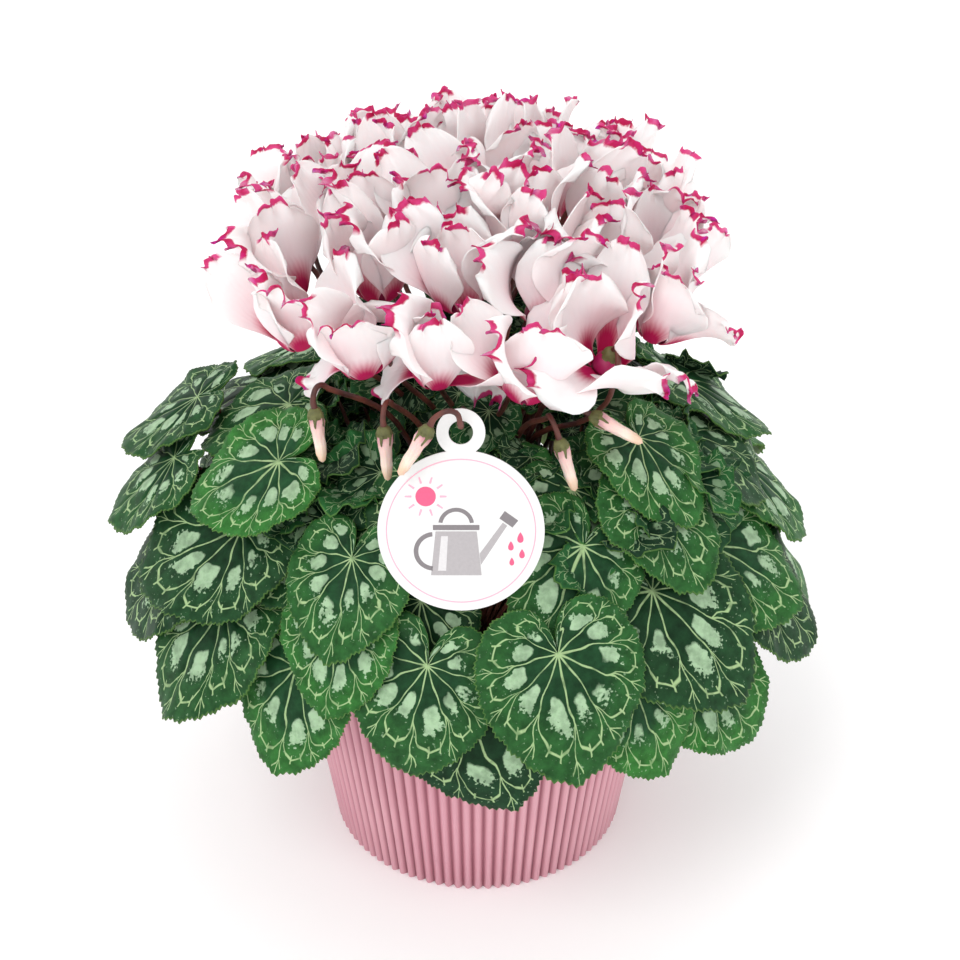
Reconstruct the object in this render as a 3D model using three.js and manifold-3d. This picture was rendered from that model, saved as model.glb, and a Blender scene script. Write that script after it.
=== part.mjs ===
// Potted cyclamen: a ribbed tapered pot filled with soil, a tuber, toothed heart-shaped leaves
// laid over one another in a dome, a head of upswept frilled blooms on hooked stems, drooping
// buds, and a round hang tag. Millimetres, +Z up, the origin at the centre of the pot's flat
// base, the tag on the -Y side.
import * as THREE from 'three';
import { mergeVertices } from 'three/addons/utils/BufferGeometryUtils.js';
import Module from 'manifold-3d';

const wasm = await Module();
wasm.setup();

// ---------------------------------------------------------------- driving sizes
const POT_HEIGHT = 128;
const POT_BASE_RADIUS = 75; // over the ribs, at the base
const POT_RIM_RADIUS = 93.5; // over the ribs, at the rim
const RIB_COUNT = 92;
const RIB_DEPTH = 1.3;
const POT_WALL = 1.9; // under the ribs
const POT_FLOOR = 3;
const INNER_SIDES = 46; // straight sides of the smooth inner wall
const CLEARANCE = 0.35; // between pieces that touch in life

const SOIL_TOP = 112;
const TUBER_RADIUS = 31;
const CROWN_RADIUS = 21.5; // circle on which the leaf bases stand
const CROWN_HEIGHT = 118.5; // top of the tuber
const PLUG_RADIUS = 12; // foot that all flower stems share

const LEAF_THICKNESS = 0.8;
const LEAF_STALK_RADIUS = 1.3;
const STALK_SIDES = 4;
const LEAVES_PER_GROUP = 3;
const LEAF_LIFT_STEP = 1.5;
const LEAF_LIFTS = 14;
const LEAF_GAP = 0.45; // least room kept around a blade
const DOME_CENTRE = new THREE.Vector3(0, 0, 120);

const MOUTH_RADIUS = 6.4; // base ring of a bloom
const PETAL_LENGTH = 48;
const PETAL_THICKNESS = 0.8;
const PETAL_PITCH = 62; // degrees between petals; the rest is the gap for the hooked stem
const BELLY_HALF_ANGLE = 30.5; // petals stay side by side up to their bellies
const CREST_HALF_ANGLE = 47; // and lie over one another, each a step inside the next, above
const TUBE_HEIGHT = 8; // corolla tube inside the mouth
const FLOWER_STEM_RADIUS = 1.2;

const BUD_LENGTH = 27;
const BUD_SIDES = 6;

const TAG_RADIUS = 34.5;
const TAG_THICKNESS = 0.8;
const TAG_EAR_RADIUS = 10;
const TAG_EAR_DISTANCE = 42; // from the disc's centre to the hole's centre
const TAG_HOLE_RADIUS = 5;
const TAG_LEAN = 17; // degrees its top leans back
const TAG_CENTRE = new THREE.Vector3(-7, -116, 246); // before it is moved clear of the leaves
const TAG_STEP = 1;
const TAG_STEPS = 16;
const TAG_ROOM = 2.2; // the tag tested this many times thicker than it is

// ---------------------------------------------------------------- placement lists
// A leaf: bearing of its stalk end in degrees, its reach from the axis and height, the heading
// and droop of its blade in degrees, and the length from stalk end to tip.
const LEAVES = [
  [-144, 136, 180, -153, 49, 62],
  [-125, 138, 172, -127, 64, 52],
  [-160, 147, 190, 170, 50, 56],
  [-146, 126, 216, 172, 27, 64],
  [-142, 98, 233, 175, 26, 50],
  [-171, 134, 214, 176, 40, 50],
  [168, 102, 236, 165, 24, 54],
  [-166, 84, 240, 178, 20, 48],
  [177, 122, 222, 168, 30, 50],
  [-122, 76, 236, -130, 30, 42],
  [-130, 104, 222, -158, 34, 46],
  [-116, 108, 214, -114, 46, 46],
  [-116, 126, 198, -112, 60, 44],
  [-102, 116, 208, -110, 60, 42],
  [-99, 133, 188, -120, 66, 53],
  [-92, 136, 167, -34, 63, 55],
  [-76, 132, 192, -67, 61, 59],
  [-52, 122, 200, -25, 38, 66],
  [-44, 138, 157, 0, 48, 52],
  [-21, 137, 176, 0, 48, 54],
  [-61, 140, 168, -29, 65, 48],
  [-66, 102, 220, -120, 36, 50],
  [-46, 96, 224, -45, 38, 48],
  [-40, 80, 238, -50, 32, 46],
  [12, 98, 238, 10, 28, 56],
  [-14, 96, 234, -10, 30, 50],
  [-4, 124, 208, 0, 42, 50],
  [-30, 122, 200, 0, 32, 56],
  [-82, 66, 238, -90, 34, 44],
  [-62, 84, 236, -66, 36, 46],
  [-104, 84, 236, -98, 36, 42],
  [-177, 128, 192, 178, 50, 52],
  [178, 142, 172, 175, 55, 56],
  [0, 140, 165, 5, 52, 56],
  [22, 138, 172, 25, 55, 58],
  [48, 136, 166, 45, 55, 58],
  [74, 137, 172, 78, 55, 58],
  [100, 136, 166, 98, 55, 58],
  [126, 137, 172, 122, 55, 58],
  [150, 138, 168, 152, 55, 58],
  [30, 124, 206, 30, 38, 58],
  [60, 124, 204, 62, 38, 58],
  [88, 124, 206, 86, 38, 58],
  [115, 124, 204, 116, 38, 58],
  [142, 124, 206, 140, 38, 58],
  [40, 90, 238, 42, 24, 54],
  [75, 90, 239, 72, 24, 54],
  [110, 90, 238, 112, 24, 54],
  [145, 90, 239, 142, 24, 54],
];

// A bloom: x and y of its mouth, its lean outward in degrees, the turn of its stem gap from the
// inward direction in degrees, and its size against a full bloom.
const BLOOMS = [
  [-17, -78, 16, 20, 1],
  [-48, -68, 18, -15, 1],
  [20, -84, 14, 10, 1.05],
  [54, -66, 20, 150, 1],
  [-76, -44, 18, 10, 1],
  [76, -40, 18, -20, 1],
  [-82, -8, 16, 0, 1],
  [82, -4, 18, 15, 0.95],
  [-82, 28, 18, -10, 1.04],
  [76, 34, 16, 20, 0.95],
  [-64, 60, 16, 0, 0.95],
  [58, 64, 16, -20, 1],
  [-34, 78, 12, -20, 1],
  [-2, 84, 10, 40, 1],
  [28, 78, 12, 0, 1],
  [-42, -30, 8, 30, 1],
  [-8, -42, 8, -30, 1],
  [26, -46, 8, 40, 1],
  [48, -18, 10, -40, 1],
  [-50, 6, 8, 0, 1],
  [44, 20, 10, 20, 1],
  [-32, 40, 8, 20, 1],
  [4, 48, 8, 0, 1],
  [-14, -6, 4, 60, 1],
  [18, -10, 4, -60, 1],
  [-2, 22, 4, 180, 0.95],
  [-58, 32, 12, 0, 0.85],
  [32, 48, 10, 40, 0.85],
];
const BLOOM_SPACING = 36.5; // between two blooms near their crests
const SPACING_LEVEL = 36; // height over the mouth at which that spacing is kept
const SPACING_ROUNDS = 120;

// A bud: its calyx end, the direction in which it points, and the mid point of its stalk.
const BUDS = [
  [[-68, -84, 284], [0.1, -0.1, -1], [-36, -46, 256]],
  [[-39, -92, 280], [0.05, -0.1, -1], [-22, -50, 250]],
  [[34, -94, 275], [0.3, -0.1, -1], [18, -50, 252]],
  [[48, -86, 283], [0.85, -0.15, -0.45], [28, -44, 262]],
];
// The bud whose stalk carries the tag: its calyx from the tag's hole, and its direction.
const TAG_BUD = [[-13, -9, 7], [-0.5, -0.1, -0.85]];

// ---------------------------------------------------------------- small tools
const radians = (degrees) => THREE.MathUtils.degToRad(degrees);

/** A shell is a list of points and a list of triangles that close on one another. */
function newShell() {
  return { points: [], faces: [] };
}

function addPoint(shell, point) {
  return shell.points.push(point) - 1;
}

/** Triangles between two rows of points; they face the viewer who sees `lower` run rightwards. */
function addStrip(shell, lower, upper, flip = false) {
  let i = 0;
  let j = 0;
  while (i < lower.length - 1 || j < upper.length - 1) {
    const nextLower = (i + 1) / (lower.length - 1);
    const nextUpper = (j + 1) / (upper.length - 1);
    const lowerMoves = j === upper.length - 1 || (i < lower.length - 1 && nextLower <= nextUpper);
    const face = lowerMoves ? [lower[i], lower[i + 1], upper[j]] : [lower[i], upper[j + 1], upper[j]];
    shell.faces.push(flip ? face.reverse() : face);
    if (lowerMoves) i += 1;
    else j += 1;
  }
}

/** Triangles from one point to each side of a row of points. */
function addFan(shell, centre, row, flip = false) {
  for (let i = 0; i < row.length - 1; i += 1) {
    const face = [centre, row[i], row[i + 1]];
    shell.faces.push(flip ? face.reverse() : face);
  }
}

function shellSolid(shell) {
  const vertProperties = new Float32Array(shell.points.flatMap((p) => [p.x, p.y, p.z]));
  const triVerts = new Uint32Array(shell.faces.flat());
  return new wasm.Manifold(new wasm.Mesh({ numProp: 3, vertProperties, triVerts }));
}

function shellGeometry(shell) {
  const geometry = new THREE.BufferGeometry();
  const positions = shell.points.flatMap((p) => [p.x, p.y, p.z]);
  geometry.setAttribute('position', new THREE.Float32BufferAttribute(positions, 3));
  geometry.setIndex(shell.faces.flat());
  geometry.computeVertexNormals();
  return geometry;
}

function placedShell(shell, matrix) {
  return { points: shell.points.map((p) => p.clone().applyMatrix4(matrix)), faces: shell.faces };
}

function geometrySolid(geometry, matrix) {
  const placed = geometry.clone().applyMatrix4(matrix);
  const position = placed.getAttribute('position');
  const points = [];
  for (let i = 0; i < position.count; i += 1) {
    points.push(new THREE.Vector3().fromBufferAttribute(position, i));
  }
  const index = Array.from(placed.getIndex().array);
  const faces = Array.from({ length: index.length / 3 }, (_, i) => index.slice(3 * i, 3 * i + 3));
  return shellSolid({ points, faces });
}

function solidGeometry(solid) {
  const { numProp, vertProperties, triVerts } = solid.getMesh();
  const positions = [];
  for (let i = 0; i < vertProperties.length; i += numProp) {
    positions.push(vertProperties[i], vertProperties[i + 1], vertProperties[i + 2]);
  }
  const geometry = new THREE.BufferGeometry();
  geometry.setAttribute('position', new THREE.Float32BufferAttribute(positions, 3));
  geometry.setIndex(Array.from(triVerts));
  geometry.computeVertexNormals();
  return geometry;
}

function joined(solids) {
  return solids.reduce((sum, solid) => sum.add(solid));
}

function overlaps(solid, others) {
  const box = solid.boundingBox();
  return others.some((other) => {
    const otherBox = other.boundingBox();
    const apart = [0, 1, 2].some((k) => box.min[k] > otherBox.max[k] || box.max[k] < otherBox.min[k]);
    return !apart && !solid.intersect(other).isEmpty();
  });
}

/** A closed tube through the points, `radii[i]` wide at the i-th, with flat ends. */
function tubeShell(points, radii, sides = STALK_SIDES) {
  const shell = newShell();
  const tangents = points.map((p, i) => {
    const before = points[Math.max(i - 1, 0)];
    const after = points[Math.min(i + 1, points.length - 1)];
    return after.clone().sub(before).normalize();
  });
  const side = new THREE.Vector3(0.83, 0.55, 0.1);
  const rings = points.map((p, i) => {
    side.addScaledVector(tangents[i], -side.dot(tangents[i])).normalize();
    const up = tangents[i].clone().cross(side);
    const ring = [];
    for (let k = 0; k < sides; k += 1) {
      const angle = (2 * Math.PI * k) / sides;
      const spoke = side.clone().multiplyScalar(Math.cos(angle)).addScaledVector(up, Math.sin(angle));
      ring.push(addPoint(shell, p.clone().addScaledVector(spoke, radii[i])));
    }
    return [...ring, ring[0]];
  });
  for (let i = 0; i < rings.length - 1; i += 1) addStrip(shell, rings[i], rings[i + 1]);
  const first = rings[0];
  const last = rings[rings.length - 1];
  addFan(shell, first[0], first.slice(1, -1), true);
  addFan(shell, last[0], last.slice(1, -1));
  return shell;
}

// ---------------------------------------------------------------- pot, soil, tuber
function ringOfPoints(shell, count, radiusAt, z) {
  const ring = [];
  for (let k = 0; k < count; k += 1) {
    const angle = (2 * Math.PI * k) / count;
    const radius = radiusAt(k);
    ring.push(addPoint(shell, new THREE.Vector3(radius * Math.cos(angle), radius * Math.sin(angle), z)));
  }
  return [...ring, ring[0]];
}

const potRadius = (z) => THREE.MathUtils.lerp(POT_BASE_RADIUS, POT_RIM_RADIUS, z / POT_HEIGHT);
const innerRadius = (z) => potRadius(z) - RIB_DEPTH - POT_WALL;

function potShell() {
  const shell = newShell();
  const ribbed = (z) => (k) => potRadius(z) - (k % 2 ? RIB_DEPTH : 0);
  const smooth = (z) => () => innerRadius(z);
  const outerBase = ringOfPoints(shell, 2 * RIB_COUNT, ribbed(0), 0);
  const outerRim = ringOfPoints(shell, 2 * RIB_COUNT, ribbed(POT_HEIGHT), POT_HEIGHT);
  const innerRim = ringOfPoints(shell, INNER_SIDES, smooth(POT_HEIGHT), POT_HEIGHT);
  const innerFloor = ringOfPoints(shell, INNER_SIDES, smooth(POT_FLOOR), POT_FLOOR);
  addFan(shell, addPoint(shell, new THREE.Vector3(0, 0, 0)), outerBase, true);
  addStrip(shell, outerBase, outerRim);
  addStrip(shell, outerRim, innerRim);
  addStrip(shell, innerRim, innerFloor);
  addFan(shell, addPoint(shell, new THREE.Vector3(0, 0, POT_FLOOR)), innerFloor);
  return shell;
}

const LATHE_SIDES = 23; // half of the pot's inner sides, so that the soil stays inside them

/** A body turned about the Z axis from its profile, listed from the bottom to the top. */
function turned(profile) {
  const points = profile.map(([radius, z]) => new THREE.Vector2(radius, z));
  const geometry = new THREE.LatheGeometry(points, LATHE_SIDES);
  geometry.rotateX(Math.PI / 2);
  geometry.rotateZ(Math.PI / 2); // its corners in line with the pot's inner corners
  geometry.deleteAttribute('normal');
  geometry.deleteAttribute('uv');
  const merged = mergeVertices(geometry, 1e-4);
  merged.computeVertexNormals();
  return merged;
}

// The tuber's outline below the soil; the soil's hollow follows it at the clearance.
const TUBER_BELOW = [[18, SOIL_TOP - 14], [27, SOIL_TOP - 9], [TUBER_RADIUS, SOIL_TOP - 1]];
const GROOVE_FLOOR = CROWN_HEIGHT - 4.5;

function soilGeometry() {
  const bottom = POT_FLOOR + CLEARANCE;
  const hollow = TUBER_BELOW.map(([radius, z]) => [radius + CLEARANCE, z - CLEARANCE]).reverse();
  return turned([
    [0, bottom],
    [innerRadius(bottom) - CLEARANCE, bottom],
    [innerRadius(SOIL_TOP) - CLEARANCE, SOIL_TOP],
    [64, SOIL_TOP + 2.2],
    [TUBER_RADIUS + 1, SOIL_TOP + 0.8],
    ...hollow,
    [0, TUBER_BELOW[0][1] - CLEARANCE - 1.5],
  ]);
}

function tuberGeometry() {
  return turned([
    [0, TUBER_BELOW[0][1] - 1.5],
    ...TUBER_BELOW,
    [CROWN_RADIUS + 3.6, CROWN_HEIGHT],
    [CROWN_RADIUS + 3.3, GROOVE_FLOOR],
    [CROWN_RADIUS - 3.3, GROOVE_FLOOR],
    [CROWN_RADIUS - 3.6, CROWN_HEIGHT],
    [PLUG_RADIUS + 1, CROWN_HEIGHT],
    [PLUG_RADIUS + 1, GROOVE_FLOOR],
    [0, GROOVE_FLOOR],
  ]);
}

// ---------------------------------------------------------------- leaves
// Distance from the stalk end to the rim over the angle from the tip, in leaf lengths.
const LEAF_OUTLINE = [
  [0, 1], [12, 0.93], [25, 0.84], [40, 0.755], [55, 0.7], [70, 0.66], [85, 0.625], [100, 0.59],
  [115, 0.555], [130, 0.515], [145, 0.465], [158, 0.38], [168, 0.25], [176, 0.1],
];
const RIM_POINTS = 16;
const RIM_END = 174; // degrees from the tip at which the notch begins
const MID_POINTS = 5;
const MID_END = 140;
const MID_FRACTION = 0.55;
const SCALLOP = 0.03;
const TIP_BEND = 0.14;
const SIDE_BEND = 0.1;
const WAVE = 0.035;
const WAVES = 5;

function rimDistance(degrees) {
  const angle = Math.abs(degrees);
  const next = LEAF_OUTLINE.findIndex(([a]) => a > angle);
  if (next < 0) return LEAF_OUTLINE[LEAF_OUTLINE.length - 1][1];
  const [a0, r0] = LEAF_OUTLINE[next - 1];
  const [a1, r1] = LEAF_OUTLINE[next];
  return THREE.MathUtils.lerp(r0, r1, (angle - a0) / (a1 - a0));
}

/** The stalk end, axes and length of leaf number `index`, raised by `lift` along its normal. */
function leafFrame(index, lift) {
  const [bearing, reach, height, heading, droop, length] = LEAVES[index];
  const stalkEnd = new THREE.Vector3(
    reach * Math.cos(radians(bearing)), reach * Math.sin(radians(bearing)), height,
  );
  const along = new THREE.Vector3(
    Math.cos(radians(heading)) * Math.cos(radians(droop)),
    Math.sin(radians(heading)) * Math.cos(radians(droop)),
    -Math.sin(radians(droop)),
  );
  const normal = stalkEnd.clone().sub(DOME_CENTRE);
  normal.addScaledVector(along, -normal.dot(along)).normalize();
  const across = normal.clone().cross(along);
  stalkEnd.addScaledVector(normal, lift);
  return { index, stalkEnd, along, across, normal, length };
}

/** A point of the blade at a fraction of the way from the stalk end to the rim. */
function bladePoint(frame, fraction, degrees, offset, scallop = 0) {
  const reach = rimDistance(degrees) * frame.length * fraction * (1 + scallop);
  const u = reach * Math.cos(radians(degrees));
  const v = reach * Math.sin(radians(degrees));
  const bend = -(TIP_BEND * u * u + SIDE_BEND * v * v) / frame.length;
  const wave = WAVE * frame.length * fraction ** 3 * Math.sin(WAVES * radians(degrees) + 1.7 * frame.index);
  return frame.stalkEnd.clone()
    .addScaledVector(frame.along, u)
    .addScaledVector(frame.across, v)
    .addScaledVector(frame.normal, bend + wave + offset);
}

function bladeShell(frame, halfThickness) {
  const shell = newShell();
  const faces = [halfThickness, -halfThickness].map((offset) => {
    const centre = addPoint(shell, bladePoint(frame, 0, 0, offset));
    const mid = [];
    for (let k = 0; k < MID_POINTS; k += 1) {
      const degrees = -MID_END + (2 * MID_END * k) / (MID_POINTS - 1);
      mid.push(addPoint(shell, bladePoint(frame, MID_FRACTION, degrees, offset)));
    }
    const rim = [];
    for (let k = 0; k < RIM_POINTS; k += 1) {
      const degrees = -RIM_END + (2 * RIM_END * k) / (RIM_POINTS - 1);
      rim.push(addPoint(shell, bladePoint(frame, 1, degrees, offset, k % 2 ? SCALLOP : -SCALLOP)));
    }
    const lower = offset < 0;
    addFan(shell, centre, mid, lower);
    addStrip(shell, mid, rim, !lower);
    shell.faces.push(lower ? [centre, mid[0], rim[0]] : [centre, rim[0], mid[0]]);
    const lastMid = mid[mid.length - 1];
    const lastRim = rim[rim.length - 1];
    shell.faces.push(lower ? [centre, lastRim, lastMid] : [centre, lastMid, lastRim]);
    return [centre, ...rim, centre];
  });
  addStrip(shell, faces[1], faces[0]);
  return shell;
}

/** The stalk from its group's foot to under the blade; it rises first and then swings out. */
function stalkShell(frame, foot, radius) {
  const end = frame.stalkEnd.clone().addScaledVector(frame.along, 2).addScaledVector(frame.normal, -0.1);
  const knee = foot.clone();
  knee.x += 0.25 * (end.x - foot.x);
  knee.y += 0.25 * (end.y - foot.y);
  knee.z += 0.75 * (end.z - foot.z);
  const curve = new THREE.QuadraticBezierCurve3(foot, knee, end);
  const points = [0, 0.5, 1].map((t) => curve.getPoint(t));
  return tubeShell(points, points.map(() => radius));
}

/** The leaves in order of bearing, split into groups that each share one foot on the crown. */
function leafGroups() {
  const order = LEAVES.map((leaf, index) => index).sort((a, b) => LEAVES[a][0] - LEAVES[b][0]);
  const groups = [];
  for (let start = 0; start < order.length; start += LEAVES_PER_GROUP) {
    groups.push({ members: order.slice(start, start + LEAVES_PER_GROUP) });
  }
  groups.forEach((group, g) => {
    const angle = -Math.PI + (2 * Math.PI * (g + 0.5)) / groups.length;
    group.foot = new THREE.Vector3(
      CROWN_RADIUS * Math.cos(angle), CROWN_RADIUS * Math.sin(angle), CROWN_HEIGHT,
    );
  });
  return groups;
}

/** Lays the leaves from the lowest to the highest, each raised until it clears what is there. */
function layLeaves(groups, obstacles) {
  const groupOf = new Map(groups.flatMap((group) => group.members.map((index) => [index, group])));
  const order = LEAVES.map((leaf, index) => index).sort((a, b) => LEAVES[a][2] - LEAVES[b][2]);
  const blades = [...obstacles];
  const stalks = [];
  const frames = new Map();
  order.forEach((index) => {
    const group = groupOf.get(index);
    const strangers = stalks.filter((stalk) => stalk.group !== group).map((stalk) => stalk.solid);
    let lifts = 0;
    let frame = leafFrame(index, 0);
    const blocked = () => {
      const blade = shellSolid(bladeShell(frame, LEAF_THICKNESS / 2 + LEAF_GAP));
      const stalk = shellSolid(stalkShell(frame, group.foot, LEAF_STALK_RADIUS + LEAF_GAP));
      return overlaps(blade, blades) || overlaps(blade, strangers)
        || overlaps(stalk, blades) || overlaps(stalk, strangers);
    };
    while (lifts < LEAF_LIFTS && blocked()) {
      lifts += 1;
      frame = leafFrame(index, lifts * LEAF_LIFT_STEP);
    }
    frames.set(index, frame);
    blades.push(shellSolid(bladeShell(frame, LEAF_THICKNESS / 2)));
    stalks.push({ group, solid: shellSolid(stalkShell(frame, group.foot, LEAF_STALK_RADIUS)) });
  });
  return frames;
}

function footShell(foot) {
  const low = foot.clone().setZ(GROOVE_FLOOR + CLEARANCE);
  const high = foot.clone().setZ(CROWN_HEIGHT + 2.5);
  return tubeShell([low, high], [2.6, 2.2], 6);
}

// ---------------------------------------------------------------- blooms
/** Height of the bloom mouths over the head, a shallow dome that rises to the back. */
const headHeight = (x, y) => 320 + 0.08 * y - 28 * (x / 100) ** 2 - 28 * (y / 100) ** 2;

/** A bloom in its own frame: the mouth ring about the origin, the petals up, the gap at +X. */
function bloomShell(number) {
  const shell = newShell();
  const polar = (degrees, radius, z) => new THREE.Vector3(
    radius * Math.cos(radians(degrees)), radius * Math.sin(radians(degrees)), z,
  );
  const outerRing = [];
  const innerRing = [];
  for (let k = 0; k <= 10; k += 1) {
    const degrees = 180 + (k / 2 - 2.5) * PETAL_PITCH;
    outerRing.push(addPoint(shell, polar(degrees, MOUTH_RADIUS, 0)));
    innerRing.push(addPoint(shell, polar(degrees, MOUTH_RADIUS - PETAL_THICKNESS, 0.9)));
  }
  const mouth = addPoint(shell, new THREE.Vector3(0, 0, 2.5));
  const tubeTop = addPoint(shell, new THREE.Vector3(0, 0, TUBE_HEIGHT));
  addFan(shell, mouth, [...outerRing, outerRing[0]], true);
  addFan(shell, tubeTop, [...innerRing, innerRing[0]]);
  addStrip(shell, [outerRing[10], outerRing[0]], [innerRing[10], innerRing[0]]);

  for (let petal = 0; petal < 5; petal += 1) {
    const centre = 180 + (petal - 2) * PETAL_PITCH;
    const mood = Math.sin(2.4 * number + 1.9 * petal);
    const length = PETAL_LENGTH * (1 + 0.06 * Math.sin(3.1 * number + 2.3 * petal));
    const flare = 0.8 * mood;
    const rows = [0, PETAL_THICKNESS].map((inset) => {
      const base = (inset ? innerRing : outerRing).slice(2 * petal, 2 * petal + 3);
      const belly = [-1, 0, 1].map((s) => addPoint(shell, polar(
        centre + BELLY_HALF_ANGLE * s, 14.4 + 1.3 * s + 0.4 * flare - inset, 0.42 * length,
      )));
      const crest = [-1, -0.35, 0.35, 1].map((s, k) => addPoint(shell, polar(
        centre + CREST_HALF_ANGLE * s,
        16.8 + 2.3 * s + flare + (k % 2 ? 0.9 : -0.6) - inset,
        length * (k % 2 ? 1.03 : 0.95) - 4 * s * s,
      )));
      return { base, belly, crest, edge: [base[0], belly[0], ...crest, belly[2], base[2]] };
    });
    const [outside, inside] = rows;
    addStrip(shell, outside.base, outside.belly);
    addStrip(shell, outside.belly, outside.crest);
    addStrip(shell, inside.base, inside.belly, true);
    addStrip(shell, inside.belly, inside.crest, true);
    addStrip(shell, outside.edge, inside.edge);
  }
  return shell;
}

/** The axis of a bloom whose mouth is at x and y and which leans outward. */
function bloomAxis(x, y, lean) {
  const outward = Math.atan2(y, x);
  return new THREE.Vector3(
    Math.cos(outward) * Math.sin(radians(lean)),
    Math.sin(outward) * Math.sin(radians(lean)),
    Math.cos(radians(lean)),
  );
}

/** The mouths' x and y once blooms that crowd one another have moved apart. */
function spreadBlooms() {
  const places = BLOOMS.map(([x, y]) => [x, y]);
  for (let round = 0; round < SPACING_ROUNDS; round += 1) {
    for (let i = 0; i < places.length; i += 1) {
      for (let j = i + 1; j < places.length; j += 1) {
        const [a, b] = [i, j].map((k) => {
          const [x, y] = places[k];
          const mouth = new THREE.Vector3(x, y, headHeight(x, y));
          return mouth.addScaledVector(bloomAxis(x, y, BLOOMS[k][2]), SPACING_LEVEL * BLOOMS[k][4]);
        });
        const wanted = (BLOOM_SPACING * (BLOOMS[i][4] + BLOOMS[j][4])) / 2;
        const apart = a.distanceTo(b);
        if (apart < wanted) {
          const push = (0.25 * (wanted - apart)) / Math.hypot(a.x - b.x, a.y - b.y);
          places[i][0] += push * (a.x - b.x);
          places[i][1] += push * (a.y - b.y);
          places[j][0] -= push * (a.x - b.x);
          places[j][1] -= push * (a.y - b.y);
        }
      }
    }
  }
  return places;
}

/** The placing of bloom number `index`: its mouth, axis and gap direction as a matrix. */
function bloomMatrix(index, [x, y]) {
  const [, , lean, gapTurn, size] = BLOOMS[index];
  const axis = bloomAxis(x, y, lean);
  const gapAngle = Math.atan2(y, x) + Math.PI + radians(gapTurn);
  const gap = new THREE.Vector3(Math.cos(gapAngle), Math.sin(gapAngle), 0);
  gap.addScaledVector(axis, -gap.dot(axis)).normalize();
  const third = axis.clone().cross(gap);
  const matrix = new THREE.Matrix4().makeBasis(gap, third, axis);
  matrix.scale(new THREE.Vector3(size, size, size));
  matrix.setPosition(x, y, headHeight(x, y));
  return matrix;
}

/** A stem from the crown's plug up beside the mouth, over through the gap and down to the tube. */
function bloomStem(matrix) {
  const local = (x, z) => new THREE.Vector3(x, 0, z).applyMatrix4(matrix);
  const beside = local(13, -8);
  const foot = new THREE.Vector3(0.1 * beside.x, 0.1 * beside.y, CROWN_HEIGHT);
  const knee = new THREE.Vector3(0.4 * beside.x, 0.4 * beside.y, 0.3 * CROWN_HEIGHT + 0.7 * beside.z);
  const end = local(0, TUBE_HEIGHT + CLEARANCE);
  const path = [foot, knee, beside, local(12, 8), local(7, 15), local(1.5, 13.5), end];
  return tubeShell(path, [1.6, 1.3, ...Array(4).fill(FLOWER_STEM_RADIUS), 2.4]);
}

// ---------------------------------------------------------------- buds
function budGeometry(length) {
  const profile = [[0, 0], [2, 0.4], [3.3, 6], [4, 13], [3, 21], [0, 27]];
  const points = profile.map(([radius, z]) => new THREE.Vector2(radius, (z * length) / BUD_LENGTH));
  const geometry = new THREE.LatheGeometry(points, BUD_SIDES);
  geometry.rotateX(Math.PI / 2);
  geometry.deleteAttribute('normal');
  geometry.deleteAttribute('uv');
  const merged = mergeVertices(geometry, 1e-4);
  const position = merged.getAttribute('position');
  for (let i = 0; i < position.count; i += 1) {
    const point = new THREE.Vector3().fromBufferAttribute(position, i);
    point.applyAxisAngle(new THREE.Vector3(0, 0, 1), 0.06 * point.z);
    position.setXYZ(i, point.x, point.y, point.z);
  }
  merged.computeVertexNormals();
  return merged;
}

/** A bud stalk that rises past its bud, hooks over and comes down onto the calyx end. */
function budStem(calyx, pointing, middle) {
  const back = pointing.clone().negate();
  const inward = middle.clone().sub(calyx).setZ(0).normalize();
  const foot = new THREE.Vector3(0.08 * calyx.x, 0.08 * calyx.y, CROWN_HEIGHT);
  const end = calyx.clone().addScaledVector(back, CLEARANCE + 0.1);
  const path = [
    foot,
    middle,
    calyx.clone().addScaledVector(back, 6).addScaledVector(inward, 10),
    calyx.clone().addScaledVector(back, 10).addScaledVector(inward, 4),
    calyx.clone().addScaledVector(back, 6),
    end,
  ];
  return tubeShell(path, [1.5, 1.3, 1.2, 1.2, 1.2, 2.6]);
}

// ---------------------------------------------------------------- tag
/** The tag's flat outline: a disc that runs into a small round ear with a hole. */
function tagGeometry() {
  const shape = new THREE.Shape();
  const join = Math.asin(TAG_EAR_RADIUS / TAG_EAR_DISTANCE) * 0.72;
  const discStart = Math.PI / 2 + join;
  const points = [];
  for (let k = 0; k <= 28; k += 1) {
    const angle = discStart + ((2 * Math.PI - 2 * join) * k) / 28;
    points.push(new THREE.Vector2(TAG_RADIUS * Math.cos(angle), TAG_RADIUS * Math.sin(angle)));
  }
  for (let k = 0; k <= 12; k += 1) {
    const angle = radians(-42 + (264 * k) / 12);
    points.push(new THREE.Vector2(
      TAG_EAR_RADIUS * Math.cos(angle), TAG_EAR_DISTANCE + TAG_EAR_RADIUS * Math.sin(angle),
    ));
  }
  shape.setFromPoints(points);
  const hole = new THREE.Path();
  hole.absarc(0, TAG_EAR_DISTANCE, TAG_HOLE_RADIUS, 0, 2 * Math.PI, true);
  shape.holes.push(hole);
  const geometry = new THREE.ExtrudeGeometry(shape, {
    depth: TAG_THICKNESS, bevelEnabled: false, curveSegments: 10,
  });
  geometry.translate(0, 0, -TAG_THICKNESS / 2);
  geometry.deleteAttribute('normal');
  geometry.deleteAttribute('uv');
  const merged = mergeVertices(geometry, 1e-4);
  merged.computeVertexNormals();
  return merged;
}

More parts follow.
